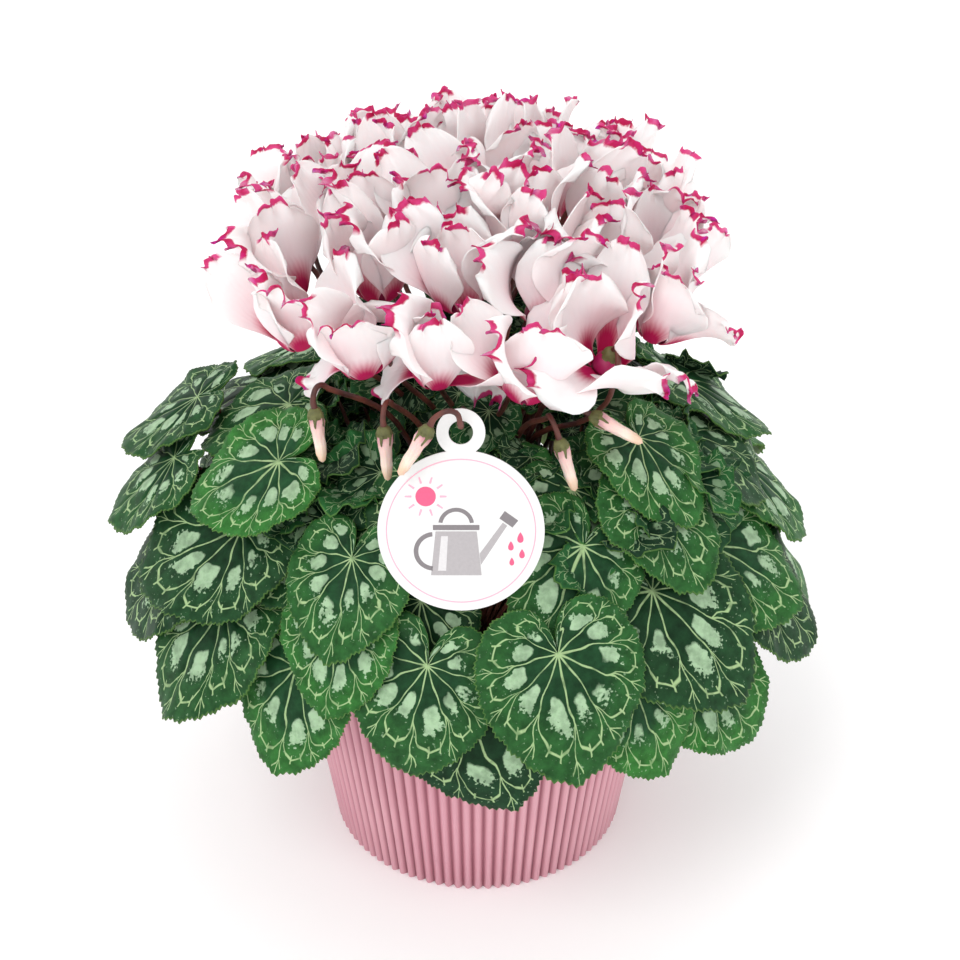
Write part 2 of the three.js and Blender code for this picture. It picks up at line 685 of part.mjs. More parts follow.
/** The stalk that carries the tag: up behind the ear, through the top of its hole, to a bud. */
function tagStem(tagMatrix, calyx, pointing) {
  const back = pointing.clone().negate();
  const seat = TAG_EAR_DISTANCE + TAG_HOLE_RADIUS - FLOWER_STEM_RADIUS - CLEARANCE;
  const onTag = (x, y, z) => new THREE.Vector3(x, y, z).applyMatrix4(tagMatrix);
  const path = [
    new THREE.Vector3(-2, -9, CROWN_HEIGHT),
    new THREE.Vector3(-6, -40, 256),
    onTag(0, seat - 3, -14),
    onTag(0, seat, -4),
    onTag(0, seat, 4),
    calyx.clone().addScaledVector(back, 9).add(new THREE.Vector3(5, 0, 0)),
    calyx.clone().addScaledVector(back, 6),
    calyx.clone().addScaledVector(back, CLEARANCE + 0.1),
  ];
  return tubeShell(path, [1.5, 1.3, ...Array(5).fill(FLOWER_STEM_RADIUS), 2.6]);
}

// ---------------------------------------------------------------- materials
const material = (color, roughness) => new THREE.MeshStandardMaterial({ color, roughness, metalness: 0 });
const POT_PINK = material(0xd58ba2, 0.55);
const SOIL_BROWN = material(0x3a2a20, 0.95);
const TUBER_BROWN = material(0x5b4130, 0.9);
const STEM_RED = material(0x6b3a33, 0.6);
const LEAF_GREEN = material(0x2f5f3a, 0.55);
const PETAL_PINK = material(0xf6dde4, 0.6);
const BUD_PINK = material(0xecc9cf, 0.6);
const TAG_WHITE = material(0xf7f7f5, 0.45);

// ---------------------------------------------------------------- assembly
const group = new THREE.Group();

function addMesh(name, geometry, meshMaterial, parent = group) {
  const mesh = new THREE.Mesh(geometry, meshMaterial);
  mesh.name = name;
  parent.add(mesh);
  return mesh;
}

const numbered = (stem, index) => `${stem}_${String(index + 1).padStart(2, '0')}`;

addMesh('pot', shellGeometry(potShell()), POT_PINK);
addMesh('soil', soilGeometry(), SOIL_BROWN);
addMesh('tuber', tuberGeometry(), TUBER_BROWN);

// The flower head: each bloom is built upright and placed by its matrix.
const bloomSolids = [];
const stemShells = [];
const mouths = spreadBlooms();
BLOOMS.forEach((bloom, index) => {
  const shell = bloomShell(index);
  const matrix = bloomMatrix(index, mouths[index]);
  const mesh = addMesh(numbered('bloom', index), shellGeometry(shell), PETAL_PINK);
  matrix.decompose(mesh.position, mesh.quaternion, mesh.scale);
  bloomSolids.push(shellSolid(placedShell(shell, matrix)));
  stemShells.push(bloomStem(matrix));
});

const Z_AXIS = new THREE.Vector3(0, 0, 1);
const vector = ([x, y, z]) => new THREE.Vector3(x, y, z);

function addBud(index, calyx, pointing) {
  const mesh = addMesh(numbered('bud', index), budGeometry(BUD_LENGTH), BUD_PINK);
  mesh.position.copy(calyx);
  mesh.quaternion.setFromUnitVectors(Z_AXIS, pointing);
  mesh.updateMatrix();
  return mesh;
}

BUDS.forEach(([calyxPlace, direction, middle], index) => {
  const calyx = vector(calyxPlace);
  const pointing = vector(direction).normalize();
  addBud(index, calyx, pointing);
  stemShells.push(budStem(calyx, pointing, vector(middle)));
});

// The leaves, laid around the stems.
const groups = leafGroups();
const stemSolids = stemShells.map(shellSolid);
const leafFrames = layLeaves(groups, [...stemSolids, ...bloomSolids]);
const leafSolids = groups.map(({ members, foot }) => {
  const pieces = members.flatMap((member) => {
    const frame = leafFrames.get(member);
    return [
      shellSolid(bladeShell(frame, LEAF_THICKNESS / 2)),
      shellSolid(stalkShell(frame, foot, LEAF_STALK_RADIUS)),
    ];
  });
  return joined([shellSolid(footShell(foot)), ...pieces]);
});
leafSolids.forEach((solid, index) => {
  addMesh(numbered('leaf_group', index), solidGeometry(solid), LEAF_GREEN);
});

// The tag hangs by its ear on the stalk of the last bud and rests on the leaves behind it.
const tagTurn = new THREE.Euler(radians(90 - TAG_LEAN), 0, 0);
const tagNormal = new THREE.Vector3(0, 0, 1).applyEuler(tagTurn);
const tag = addMesh('tag', tagGeometry(), TAG_WHITE);
tag.rotation.copy(tagTurn);
for (let steps = 0; steps < TAG_STEPS; steps += 1) {
  tag.position.copy(TAG_CENTRE).addScaledVector(tagNormal, steps * TAG_STEP);
  tag.updateMatrix();
  const roomy = tag.matrix.clone().multiply(new THREE.Matrix4().makeScale(1, 1, TAG_ROOM));
  if (!overlaps(geometrySolid(tag.geometry, roomy), leafSolids)) break;
}
const holeCentre = new THREE.Vector3(0, TAG_EAR_DISTANCE, 0).applyMatrix4(tag.matrix);
const tagCalyx = vector(TAG_BUD[0]).add(holeCentre);
const tagPointing = vector(TAG_BUD[1]).normalize();
addBud(BUDS.length, tagCalyx, tagPointing);
stemSolids.push(shellSolid(tagStem(tag.matrix, tagCalyx, tagPointing)));

// All flower stems and bud stalks rise from one foot in the crown.
const plug = shellSolid(tubeShell(
  [new THREE.Vector3(0, 0, GROOVE_FLOOR + CLEARANCE), new THREE.Vector3(0, 0, CROWN_HEIGHT + 3)],
  [PLUG_RADIUS, PLUG_RADIUS - 1],
  14,
));
addMesh('flower_stems', solidGeometry(joined([plug, ...stemSolids])), STEM_RED);

export default group;
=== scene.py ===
# Potted cyclamen: a ribbed pink pot with soil and a tuber, silver-marked toothed leaves, a head of
# white blooms with magenta frills, drooping buds, and a round hang tag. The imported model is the
# fixed frame. Metres, +Z up, the tag on the -Y side; sizes in the lists are millimetres.
import math
import random

import bmesh
import bpy
import numpy as np
from mathutils import Matrix, Vector, noise


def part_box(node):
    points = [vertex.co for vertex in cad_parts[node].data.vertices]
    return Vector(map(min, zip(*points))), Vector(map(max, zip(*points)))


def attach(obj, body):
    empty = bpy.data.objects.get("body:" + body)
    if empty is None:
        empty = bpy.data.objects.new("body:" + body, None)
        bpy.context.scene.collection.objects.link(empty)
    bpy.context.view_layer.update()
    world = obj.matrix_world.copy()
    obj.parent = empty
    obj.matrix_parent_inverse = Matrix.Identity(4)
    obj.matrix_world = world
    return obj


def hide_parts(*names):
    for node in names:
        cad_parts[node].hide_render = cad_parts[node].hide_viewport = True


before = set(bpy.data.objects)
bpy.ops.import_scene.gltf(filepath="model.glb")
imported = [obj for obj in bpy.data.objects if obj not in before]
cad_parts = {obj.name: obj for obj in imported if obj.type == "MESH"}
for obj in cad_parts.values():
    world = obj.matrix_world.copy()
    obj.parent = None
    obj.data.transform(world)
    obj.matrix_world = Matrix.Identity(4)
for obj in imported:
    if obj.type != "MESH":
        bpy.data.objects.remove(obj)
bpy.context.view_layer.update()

# ---------------------------------------------------------------- studio
# A white paper floor under a white sky that lights the plant from all round, a soft sun from the
# front left, and the camera in front of the tag and well above the pot, as it was photographed.
CAMERA_ELEVATION = math.radians(32.5)
CAMERA_DISTANCE = 0.9
TARGET = Vector((0.0, 0.0, 0.1965))
PICTURE_PIXELS = 960
FOCAL_PIXELS = 1875
TARGET_COLUMN = 478  # the pixel column that the plant's axis falls on
SENSOR = 36.0
FLOOR_REACH = 6
SUN_DIRECTION = (0.5, 0.75, -1.2)


def linear(code):
    """An sRGB hex colour as the linear values that materials and lights take."""
    channels = [int(code[i:i + 2], 16) / 255 for i in (1, 3, 5)]
    return tuple(c / 12.92 if c <= 0.04045 else ((c + 0.055) / 1.055) ** 2.4 for c in channels) + (1.0,)


def add(material, kind, inputs=(), stops=(), **settings):
    """Adds a node with its settings and links; a kind in capitals is an operation of a Math node.
    Inputs go by name, or all in the node's own order, and are values, hex colours, sockets or nodes.
    Stops are the places and colours of a ramp."""
    if kind.isupper():
        kind, settings["operation"] = "Math", kind
    tree = material.node_tree
    node = tree.nodes.new("ShaderNode" + kind)
    for name, value in settings.items():
        setattr(node, name, value)
    for name, value in inputs.items() if isinstance(inputs, dict) else enumerate(inputs):
        if isinstance(value, bpy.types.Node):
            value = value.outputs[0]
        if isinstance(value, bpy.types.NodeSocket):
            tree.links.new(value, node.inputs[name])
        else:
            node.inputs[name].default_value = linear(value) if isinstance(value, str) else value
    for number, (position, code) in enumerate(stops):
        ramp = node.color_ramp.elements
        stop = ramp[number] if number < len(ramp) else ramp.new(position)
        stop.position = position
        stop.color = linear(code)
    return node


def new_material(name):
    """An empty node material, and its Object coordinates."""
    material = bpy.data.materials.new(name)
    material.use_nodes = True
    material.node_tree.nodes.clear()
    return material, add(material, "TexCoord").outputs["Object"]


def give_surface(material, inputs):
    """Ends a material in a Principled shader with these inputs."""
    add(material, "OutputMaterial", {"Surface": add(material, "BsdfPrincipled", inputs)})


def set_up(name, data, location=(0, 0, 0), direction=None):
    """Adds an object to the scene, turned to look in a direction where one is given."""
    thing = bpy.data.objects.new(name, data)
    thing.location = location
    if direction:
        thing.rotation_euler = Vector(direction).to_track_quat("-Z", "Y").to_euler()
    bpy.context.scene.collection.objects.link(thing)
    return thing


towards = Vector((0, math.cos(CAMERA_ELEVATION), -math.sin(CAMERA_ELEVATION)))
camera = set_up("camera", bpy.data.cameras.new("camera"), TARGET - CAMERA_DISTANCE * towards, towards)
camera.data.sensor_width = SENSOR
camera.data.lens = SENSOR * FOCAL_PIXELS / PICTURE_PIXELS
camera.data.shift_x = (PICTURE_PIXELS / 2 - TARGET_COLUMN) / PICTURE_PIXELS
bpy.context.scene.camera = camera
bpy.context.scene.view_settings.view_transform = "Standard"

# Matt paper hardly shines; a faint glow of its own keeps the shadow on it pale.
floor_paper, _ = new_material("matt white paper")
give_surface(floor_paper, {"Base Color": "#F8F8F8", "Roughness": 0.9, "Emission Strength": 0.12})
floor_bm = bmesh.new()
bmesh.ops.create_grid(floor_bm, x_segments=1, y_segments=1, size=FLOOR_REACH)
floor_mesh = bpy.data.meshes.new("floor")
floor_bm.to_mesh(floor_mesh)
floor_bm.free()
floor_mesh.materials.append(floor_paper)
set_up("floor", floor_mesh)

world = bpy.data.worlds.new("studio")
world.use_nodes = True
sky = world.node_tree.nodes["Background"].inputs
sky["Color"].default_value = linear("#FFFFFF")
sky["Strength"].default_value = 1.0
bpy.context.scene.world = world

sun = bpy.data.lights.new("window", "SUN")
sun.angle = math.radians(24)
sun.energy = 0.75
set_up("window", sun, direction=SUN_DIRECTION)

# Two soft boxes fill the shadows. Each: where it stands, its width, and its power in watts.
SOFT_BOXES = [
    ("fill", (1.3, -1.1, 0.8), 1.2, 2),
    ("front", (-0.5, -1.5, 0.9), 0.8, 2),
]
for name, place, width, power in SOFT_BOXES:
    lamp = bpy.data.lights.new(name, "AREA")
    lamp.size = width
    lamp.energy = power
    set_up(name, lamp, place, TARGET - Vector(place))

# ---------------------------------------------------------------- pot
# A tapered flower pot moulded in matt pink plastic, closed at the bottom, with rounded vertical
# ribs all round from the base to the rim.
MM = 0.001
POT_HEIGHT = 128
POT_BASE_RADIUS = 75
POT_RIM_RADIUS = 93.5
RIB_COUNT = 92
RIB_DEPTH = 2.4
RIB_SHARPNESS = 1.3
POT_WALL = 0.8
POT_FLOOR = 3
POINTS_PER_RIB = 8
EDGE_ROUND = 0.7


def finish_piece(name, bm, materials, node_name):
    """Turns a bmesh into a smooth piece that rides on the plant and stands for a CAD node."""
    mesh = bpy.data.meshes.new(name)
    bm.to_mesh(mesh)
    bm.free()
    mesh.polygons.foreach_set("use_smooth", [True] * len(mesh.polygons))
    for material in materials:
        mesh.materials.append(material)
    piece = set_up(name, mesh)
    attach(piece, "root")
    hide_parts(node_name)
    return piece


def polar(radius, angle, z=0.0):
    """A point at a distance from an upright axis, a bearing in radians and a height."""
    return radius * math.cos(angle), radius * math.sin(angle), z


def turned(bm, profile, segments, relief=None, placing=None, skin=0):
    """Extrudes a ring upwards through a profile of (radius, height) and closes both ends. `skin` is
    the number of its material."""
    ring = bmesh.ops.create_circle(bm, cap_ends=True, segments=segments, radius=1)["verts"]
    angles = [math.atan2(v.co.y, v.co.x) for v in ring]
    made = list(ring)
    for row, (radius, height) in enumerate(profile):
        if row:
            sides = [bm.edges.get(pair) for pair in zip(ring, ring[1:] + ring[:1])]
            grown = set(bmesh.ops.extrude_edge_only(bm, edges=sides)["geom"])
            ring = [next(e.other_vert(v) for e in v.link_edges if e.other_vert(v) in grown) for v in ring]
            made += ring
        for vertex, angle in zip(ring, angles):
            r, z = relief(angle, radius, height) if relief else (radius, height)
            vertex.co = polar(r, angle, z)
    bmesh.ops.contextual_create(bm, geom=ring)
    faces = list({face for vertex in made for face in vertex.link_faces})
    bmesh.ops.recalc_face_normals(bm, faces=faces)
    bmesh.ops.transform(bm, matrix=placing or Matrix.Scale(MM, 4), verts=made)
    for face in faces:
        face.material_index = skin


def pot_radius(z):
    return POT_BASE_RADIUS + (POT_RIM_RADIUS - POT_BASE_RADIUS) * z / POT_HEIGHT


def ribbed(angle, radius, z):
    """Rounded ribs on the outer wall; the inner wall is smooth."""
    if radius < pot_radius(z) - RIB_DEPTH - EDGE_ROUND:
        return radius, z
    crest = abs(math.cos(angle * RIB_COUNT / 2)) ** RIB_SHARPNESS
    return radius - RIB_DEPTH * (1 - crest), z


inner_gap = RIB_DEPTH + POT_WALL
POT_PROFILE = [
    (pot_radius(0) - EDGE_ROUND, 0),
    (pot_radius(EDGE_ROUND), EDGE_ROUND),
    (pot_radius(POT_HEIGHT / 2), POT_HEIGHT / 2),
    (pot_radius(POT_HEIGHT - EDGE_ROUND), POT_HEIGHT - EDGE_ROUND),
    (pot_radius(POT_HEIGHT) - EDGE_ROUND, POT_HEIGHT),
    (pot_radius(POT_HEIGHT) - inner_gap + EDGE_ROUND, POT_HEIGHT),
    (pot_radius(POT_HEIGHT) - inner_gap, POT_HEIGHT - EDGE_ROUND),
    (pot_radius(POT_FLOOR) - inner_gap, POT_FLOOR),
]
pot_bm = bmesh.new()
turned(pot_bm, POT_PROFILE, RIB_COUNT * POINTS_PER_RIB, relief=ribbed)

# Matt polypropylene with a satin gloss: its pink is a little uneven over 70 mm, and its mould left a
# grain of 0.4 mm. Between the ribs the pink is painted darker: painted shade in the grooves.
pot_plastic, place = new_material("moulded matt pink plastic")
cloud = add(pot_plastic, "TexNoise", {"Vector": place, "Scale": 14.0, "Detail": 2.0})
tint = add(pot_plastic, "ValToRGB", (cloud,), ((0.3, "#D0909F"), (0.7, "#DDA5B0")))
# Painted shade: a darker pink is mixed in towards the groove between each pair of ribs, worked out from the
# bearing round the pot.
around = add(pot_plastic, "SeparateXYZ", (place,))
around = add(pot_plastic, "ARCTAN2", (around.outputs["Y"], around.outputs["X"]))
around = add(pot_plastic, "MULTIPLY", (around, RIB_COUNT / 2))
crest = add(pot_plastic, "COSINE", (around,))
crest = add(pot_plastic, "ABSOLUTE", (crest,))
crest = add(pot_plastic, "MapRange", (crest, 0.1, 0.75))
tint = add(pot_plastic, "MixRGB", (crest, "#975262", tint))
grain = add(pot_plastic, "TexNoise", {"Vector": place, "Scale": 2600.0, "Detail": 1.0})
bump = add(pot_plastic, "Bump", {"Height": grain, "Strength": 0.12, "Distance": 0.0002})
give_surface(pot_plastic, {"Base Color": tint, "Normal": bump, "Roughness": 0.36, "IOR": 1.49})
finish_piece("ribbed_pot", pot_bm, [pot_plastic], "pot")

# ---------------------------------------------------------------- soil
# Moist potting mix that fills the pot up to the tuber: peat with crumbs of bark on top.
SOIL_TOP = 112
SOIL_RISE = 1.4  # from the edge at the wall to the open surface
OPEN_RADIUS = 84
LUMPS = ((1.1, 7), (0.5, 2.5))  # height and width
TUBER_RADIUS = 31
CLEARANCE = 0.35
CRUMBS = 260


def soil_relief(angle, radius, z):
    """Lumps on the open surface, none on the walls."""
    if z < SOIL_TOP - 0.5 or radius < TUBER_RADIUS + 2 or radius > OPEN_RADIUS:
        return radius, z
    spot = Vector(polar(radius, angle))
    return radius, z + sum(height * noise.noise(spot / width) for height, width in LUMPS)


def soil_wall(z):
    return pot_radius(z) - inner_gap - 2 * CLEARANCE


def mottled(name, scale, detail, stops, roughness, coarseness=0.5, relief=0.0):
    """A skin whose colours run through `stops` in flecks, `scale` of them to a metre. With
    `relief`, the flecks also stand out by up to a millimetre."""
    skin, place = new_material(name)
    flecks = {"Vector": place, "Scale": scale, "Detail": detail, "Roughness": coarseness}
    flecks = add(skin, "TexNoise", flecks)
    surface = {"Base Color": add(skin, "ValToRGB", (flecks,), stops), "Roughness": roughness}
    if relief:
        surface["Normal"] = add(skin, "Bump", {"Height": flecks, "Strength": relief, "Distance": 0.001})
    give_surface(skin, surface)
    return skin


SOIL_PROFILE = [(0.01, POT_FLOOR + CLEARANCE), (soil_wall(POT_FLOOR), POT_FLOOR + CLEARANCE)]
SOIL_PROFILE += [(soil_wall(SOIL_TOP), SOIL_TOP)]
SOIL_PROFILE += [(radius, SOIL_TOP + SOIL_RISE) for radius in range(OPEN_RADIUS, TUBER_RADIUS + 2, -2)]
SOIL_PROFILE += [(TUBER_RADIUS + 1.2, SOIL_TOP + 0.6), (TUBER_RADIUS + 0.5, SOIL_TOP - 1.5)]
SOIL_PROFILE += [(27.5, SOIL_TOP - 9.5), (18.5, SOIL_TOP - 14.5), (0.01, SOIL_TOP - 16)]
soil_bm = bmesh.new()
turned(soil_bm, SOIL_PROFILE, 144, relief=soil_relief)
draw = random.Random(11)
for crumb in range(CRUMBS):
    radius = math.sqrt(draw.uniform((TUBER_RADIUS + 4) ** 2, (OPEN_RADIUS - 1) ** 2))
    angle = draw.uniform(0, 2 * math.pi)
    spot = Vector(polar(radius, angle, SOIL_TOP + SOIL_RISE + 0.8)) * MM
    size = draw.uniform(0.8, 2.2) * MM
    turn = Matrix.Rotation(draw.uniform(0, 6), 4, "Z") @ Matrix.Diagonal((size, 0.7 * size, 0.5 * size, 1))
    bmesh.ops.create_icosphere(soil_bm, subdivisions=1, radius=1, matrix=Matrix.Translation(spot) @ turn)

# Peat: brown fibres of 2.4 mm over near black, and no gloss.
PEAT_COLOURS = ((0.35, "#1F1611"), (0.7, "#54402F"))
peat = mottled("moist peat potting mix", 420.0, 4.0, PEAT_COLOURS, 0.95, coarseness=0.7, relief=0.7)
finish_piece("potting_mix", soil_bm, [peat], "soil")

# ---------------------------------------------------------------- tuber
# The flattened corky tuber, half sunk in the soil; leaf stalks stand in the groove round its crown
# and the flower stems in the hollow at its middle.
CROWN_RADIUS = 21.5
CROWN_HEIGHT = 118.5
PLUG_RADIUS = 12
GROOVE_FLOOR = CROWN_HEIGHT - 4.5
SKIN_DEPTH = 0.5


def corky(angle, radius, z):
    """Shallow lumps on the skin outside the groove."""
    if radius < CROWN_RADIUS + 5:
        return radius, z
    lump = noise.noise(Vector(polar(3, angle, z / 4)))
    return radius - SKIN_DEPTH + 0.8 * SKIN_DEPTH * lump, z


TUBER_PROFILE = [
    (0.01, SOIL_TOP - 15.5), (18, SOIL_TOP - 14), (27, SOIL_TOP - 9), (30.4, SOIL_TOP - 4),
    (31.2, SOIL_TOP - 1), (30.4, SOIL_TOP + 2), (28.2, SOIL_TOP + 4.6), (25.6, CROWN_HEIGHT - 0.3),
    (24.9, CROWN_HEIGHT - 1), (24.8, GROOVE_FLOOR), (18.2, GROOVE_FLOOR), (18, CROWN_HEIGHT - 0.6),
    (16, CROWN_HEIGHT), (PLUG_RADIUS + 1.4, CROWN_HEIGHT - 0.3), (PLUG_RADIUS + 1, GROOVE_FLOOR),
    (0.01, GROOVE_FLOOR),
]
tuber_bm = bmesh.new()
turned(tuber_bm, TUBER_PROFILE, 96, relief=corky)
# Cork: dry brown scales of 4 mm.
CORK_COLOURS = ((0.3, "#3B291D"), (0.7, "#7A5A42"))
cork = mottled("corky tuber skin", 240.0, 5.0, CORK_COLOURS, 0.9, coarseness=0.65, relief=0.6)
finish_piece("corky_tuber", tuber_bm, [cork], "tuber")

# ---------------------------------------------------------------- leaves
# Heart-shaped, finely toothed, leathery leaves on reddish stalks, in groups of three that share a
# foot in the tuber's groove. Pale veins radiate from the stalk, fork and join in arches, and a
# ring of silver-green blotches lies between them.
# A leaf: bearing of its stalk end in degrees, its reach from the axis and height, the heading and
# droop of its blade in degrees, and the length from stalk end to tip.
LEAVES = [
    (-144, 136, 180, -153, 49, 62), (-125, 138, 172, -127, 64, 52), (-160, 147, 190, 170, 50, 56),
    (-146, 126, 216, 172, 27, 64), (-142, 98, 233, 175, 26, 50), (-171, 134, 214, 176, 40, 50),
    (168, 102, 236, 165, 24, 54), (-166, 84, 240, 178, 20, 48), (177, 122, 222, 168, 30, 50),
    (-122, 76, 236, -130, 30, 42), (-130, 104, 222, -158, 34, 46), (-116, 108, 214, -114, 46, 46),
    (-116, 126, 198, -112, 60, 44), (-102, 116, 208, -110, 60, 42), (-99, 133, 188, -120, 66, 53),
    (-92, 136, 167, -34, 63, 55), (-76, 132, 192, -67, 61, 59), (-52, 122, 200, -25, 38, 66),
    (-44, 138, 157, 0, 48, 52), (-21, 137, 176, 0, 48, 54), (-61, 140, 168, -29, 65, 48),
    (-66, 102, 220, -120, 36, 50), (-46, 96, 224, -45, 38, 48), (-40, 80, 238, -50, 32, 46),
    (12, 98, 238, 10, 28, 56), (-14, 96, 234, -10, 30, 50), (-4, 124, 208, 0, 42, 50),
    (-30, 122, 200, 0, 32, 56), (-82, 66, 238, -90, 34, 44), (-62, 84, 236, -66, 36, 46),
    (-104, 84, 236, -98, 36, 42), (-177, 128, 192, 178, 50, 52), (178, 142, 172, 175, 55, 56),
    (0, 140, 165, 5, 52, 56), (22, 138, 172, 25, 55, 58), (48, 136, 166, 45, 55, 58),
    (74, 137, 172, 78, 55, 58), (100, 136, 166, 98, 55, 58), (126, 137, 172, 122, 55, 58),
    (150, 138, 168, 152, 55, 58), (30, 124, 206, 30, 38, 58), (60, 124, 204, 62, 38, 58),
    (88, 124, 206, 86, 38, 58), (115, 124, 204, 116, 38, 58), (142, 124, 206, 140, 38, 58),
    (40, 90, 238, 42, 24, 54), (75, 90, 239, 72, 24, 54), (110, 90, 238, 112, 24, 54),
    (145, 90, 239, 142, 24, 54),
]
LEAF_OUTLINE = [
    (0, 1), (12, 0.93), (25, 0.84), (40, 0.755), (55, 0.7), (70, 0.66), (85, 0.625), (100, 0.59),
    (115, 0.555), (130, 0.515), (145, 0.465), (158, 0.38), (168, 0.25), (176, 0.1),
]
VEIN_ANGLES = (0, 27, 56, 88, 123, 158, 200)  # main veins, in degrees from the tip
DOME_CENTRE = np.array((0, 0, 120.0))
LEAVES_PER_GROUP = 3
LEAF_THICKNESS = 0.8
LEAF_CODE = 100  # is added to the vein numbers of each leaf, so that each can have its own green
LIFT_STEP = 1.5
LIFTS = 15
RIM_PROBE = 11.6  # degrees from the tip of one rim corner
TEETH = 108
LEAF_ROWS = 18
NOTCH_END = 176  # degrees from the tip
STALK_ROUNDING = 2
STALK_STEPS = 6  # between two points of a stalk


def slab_template(name, across, along, back_material, front_material=0):
    """A closed slab over the unit square: x and y are parameters, z tells front from back."""
    bm = bmesh.new()
    bmesh.ops.create_grid(bm, x_segments=across, y_segments=along, size=1)
    bmesh.ops.solidify(bm, geom=bm.faces[:], thickness=1)
    mesh = bpy.data.meshes.new(name)
    bm.to_mesh(mesh)
    bm.free()
    mesh.uv_layers.new(name="pattern")
    points = np.empty(3 * len(mesh.vertices))
    mesh.vertices.foreach_get("co", points)
    points = points.reshape(-1, 3)
    corners = np.empty(len(mesh.loops), int)
    mesh.loops.foreach_get("vertex_index", corners)
    front = points[:, 2] > points[:, 2].mean()
    polygons = [np.array(p.vertices) for p in mesh.polygons]
    indices = [front_material if front[p].any() else back_material for p in polygons]
    mesh.polygons.foreach_set("material_index", indices)
    return mesh, points[:, 0], (points[:, 1] + 1) / 2, front, corners


def grow_slab(bm, template, places, pattern, mark):
    """Adds a copy of a slab with its points moved to `places`, in millimetres."""
    mesh = template[0].copy()
    mesh.vertices.foreach_set("co", (places * MM).ravel())
    mesh.uv_layers["pattern"].data.foreach_set("uv", pattern[template[4]].ravel())
    mesh.attributes.new("mark", "FLOAT", "POINT").data.foreach_set("value", mark)
    bm.from_mesh(mesh)
    bpy.data.meshes.remove(mesh)


def add_stalk(bm, points, radii, skin=0):
    """Adds a round stalk along a smooth curve through the points, in millimetres. `skin` is the
    number of its material."""
    curve = bpy.data.curves.new("stalk", "CURVE")
    curve.dimensions = "3D"
    curve.bevel_depth = MM
    curve.bevel_resolution = STALK_ROUNDING
    curve.resolution_u = STALK_STEPS
    curve.use_fill_caps = True
    spline = curve.splines.new("BEZIER")
    spline.bezier_points.add(len(points) - 1)
    for knot, point, radius in zip(spline.bezier_points, points, radii):
        knot.co = Vector(point) * MM
        knot.radius = radius
        knot.handle_left_type = knot.handle_right_type = "AUTO"
    holder = bpy.data.objects.new("stalk", curve)
    mesh = bpy.data.meshes.new_from_object(holder)
    mesh.polygons.foreach_set("material_index", [skin] * len(mesh.polygons))
    bm.from_mesh(mesh)
    bpy.data.meshes.remove(mesh)
    bpy.data.objects.remove(holder)
    bpy.data.curves.remove(curve)


def unit(vector):
    return vector / np.linalg.norm(vector)


def leaf_frame(leaf, lift):
    """The stalk end and axes of a leaf that is raised by `lift` along its normal."""
    bearing, reach, height, heading, droop, length = leaf
    b, h, d = (math.radians(value) for value in (bearing, heading, droop))
    stalk_end = np.array(polar(reach, b, height))
    along = np.array(polar(math.cos(d), h, -math.sin(d)))
    normal = stalk_end - DOME_CENTRE
    normal = unit(normal - normal.dot(along) * along)
    return stalk_end + lift * normal, along, np.cross(normal, along), normal, length


def blade_points(axes, index, fraction, degrees, offset, toothing=0.0):
    """Points of the blade at a fraction of the way from the stalk end to the rim."""
    stalk_end, along, across, normal, length = axes
    outline = np.array(LEAF_OUTLINE).T
    reach = np.interp(np.abs(degrees), *outline) * length * fraction * (1 + toothing)
    angle = np.radians(degrees)
    u = reach * np.cos(angle)
    v = reach * np.sin(angle)
    bend = -(0.14 * u * u + 0.1 * v * v) / length
    wave = 0.035 * length * fraction ** 3 * np.sin(5 * angle + 1.7 * index)
    up = bend + wave + offset
    return stalk_end + u[:, None] * along + v[:, None] * across + up[:, None] * normal


def leaf_lift(index, node_points):
    """How far the CAD leaf was raised, read from where its rim lies in its node."""
    def miss(lift):
        axes = leaf_frame(LEAVES[index], lift)
        corner = blade_points(axes, index, 1.0, np.array([RIM_PROBE]), LEAF_THICKNESS / 2, -0.03)
        return np.linalg.norm(node_points - corner, axis=1).min()

    return min((LIFT_STEP * step for step in range(LIFTS)), key=miss)


UNDERSIDE, STALK, YOUNG = 1, 2, 3  # their places among the leaf pieces' materials
YOUNG_TEETH = 32
YOUNG_ROWS = 8
leaf_template = slab_template("leaf template", 2 * TEETH, LEAF_ROWS, UNDERSIDE)
young_template = slab_template("young leaf template", 2 * YOUNG_TEETH, YOUNG_ROWS, YOUNG, YOUNG)


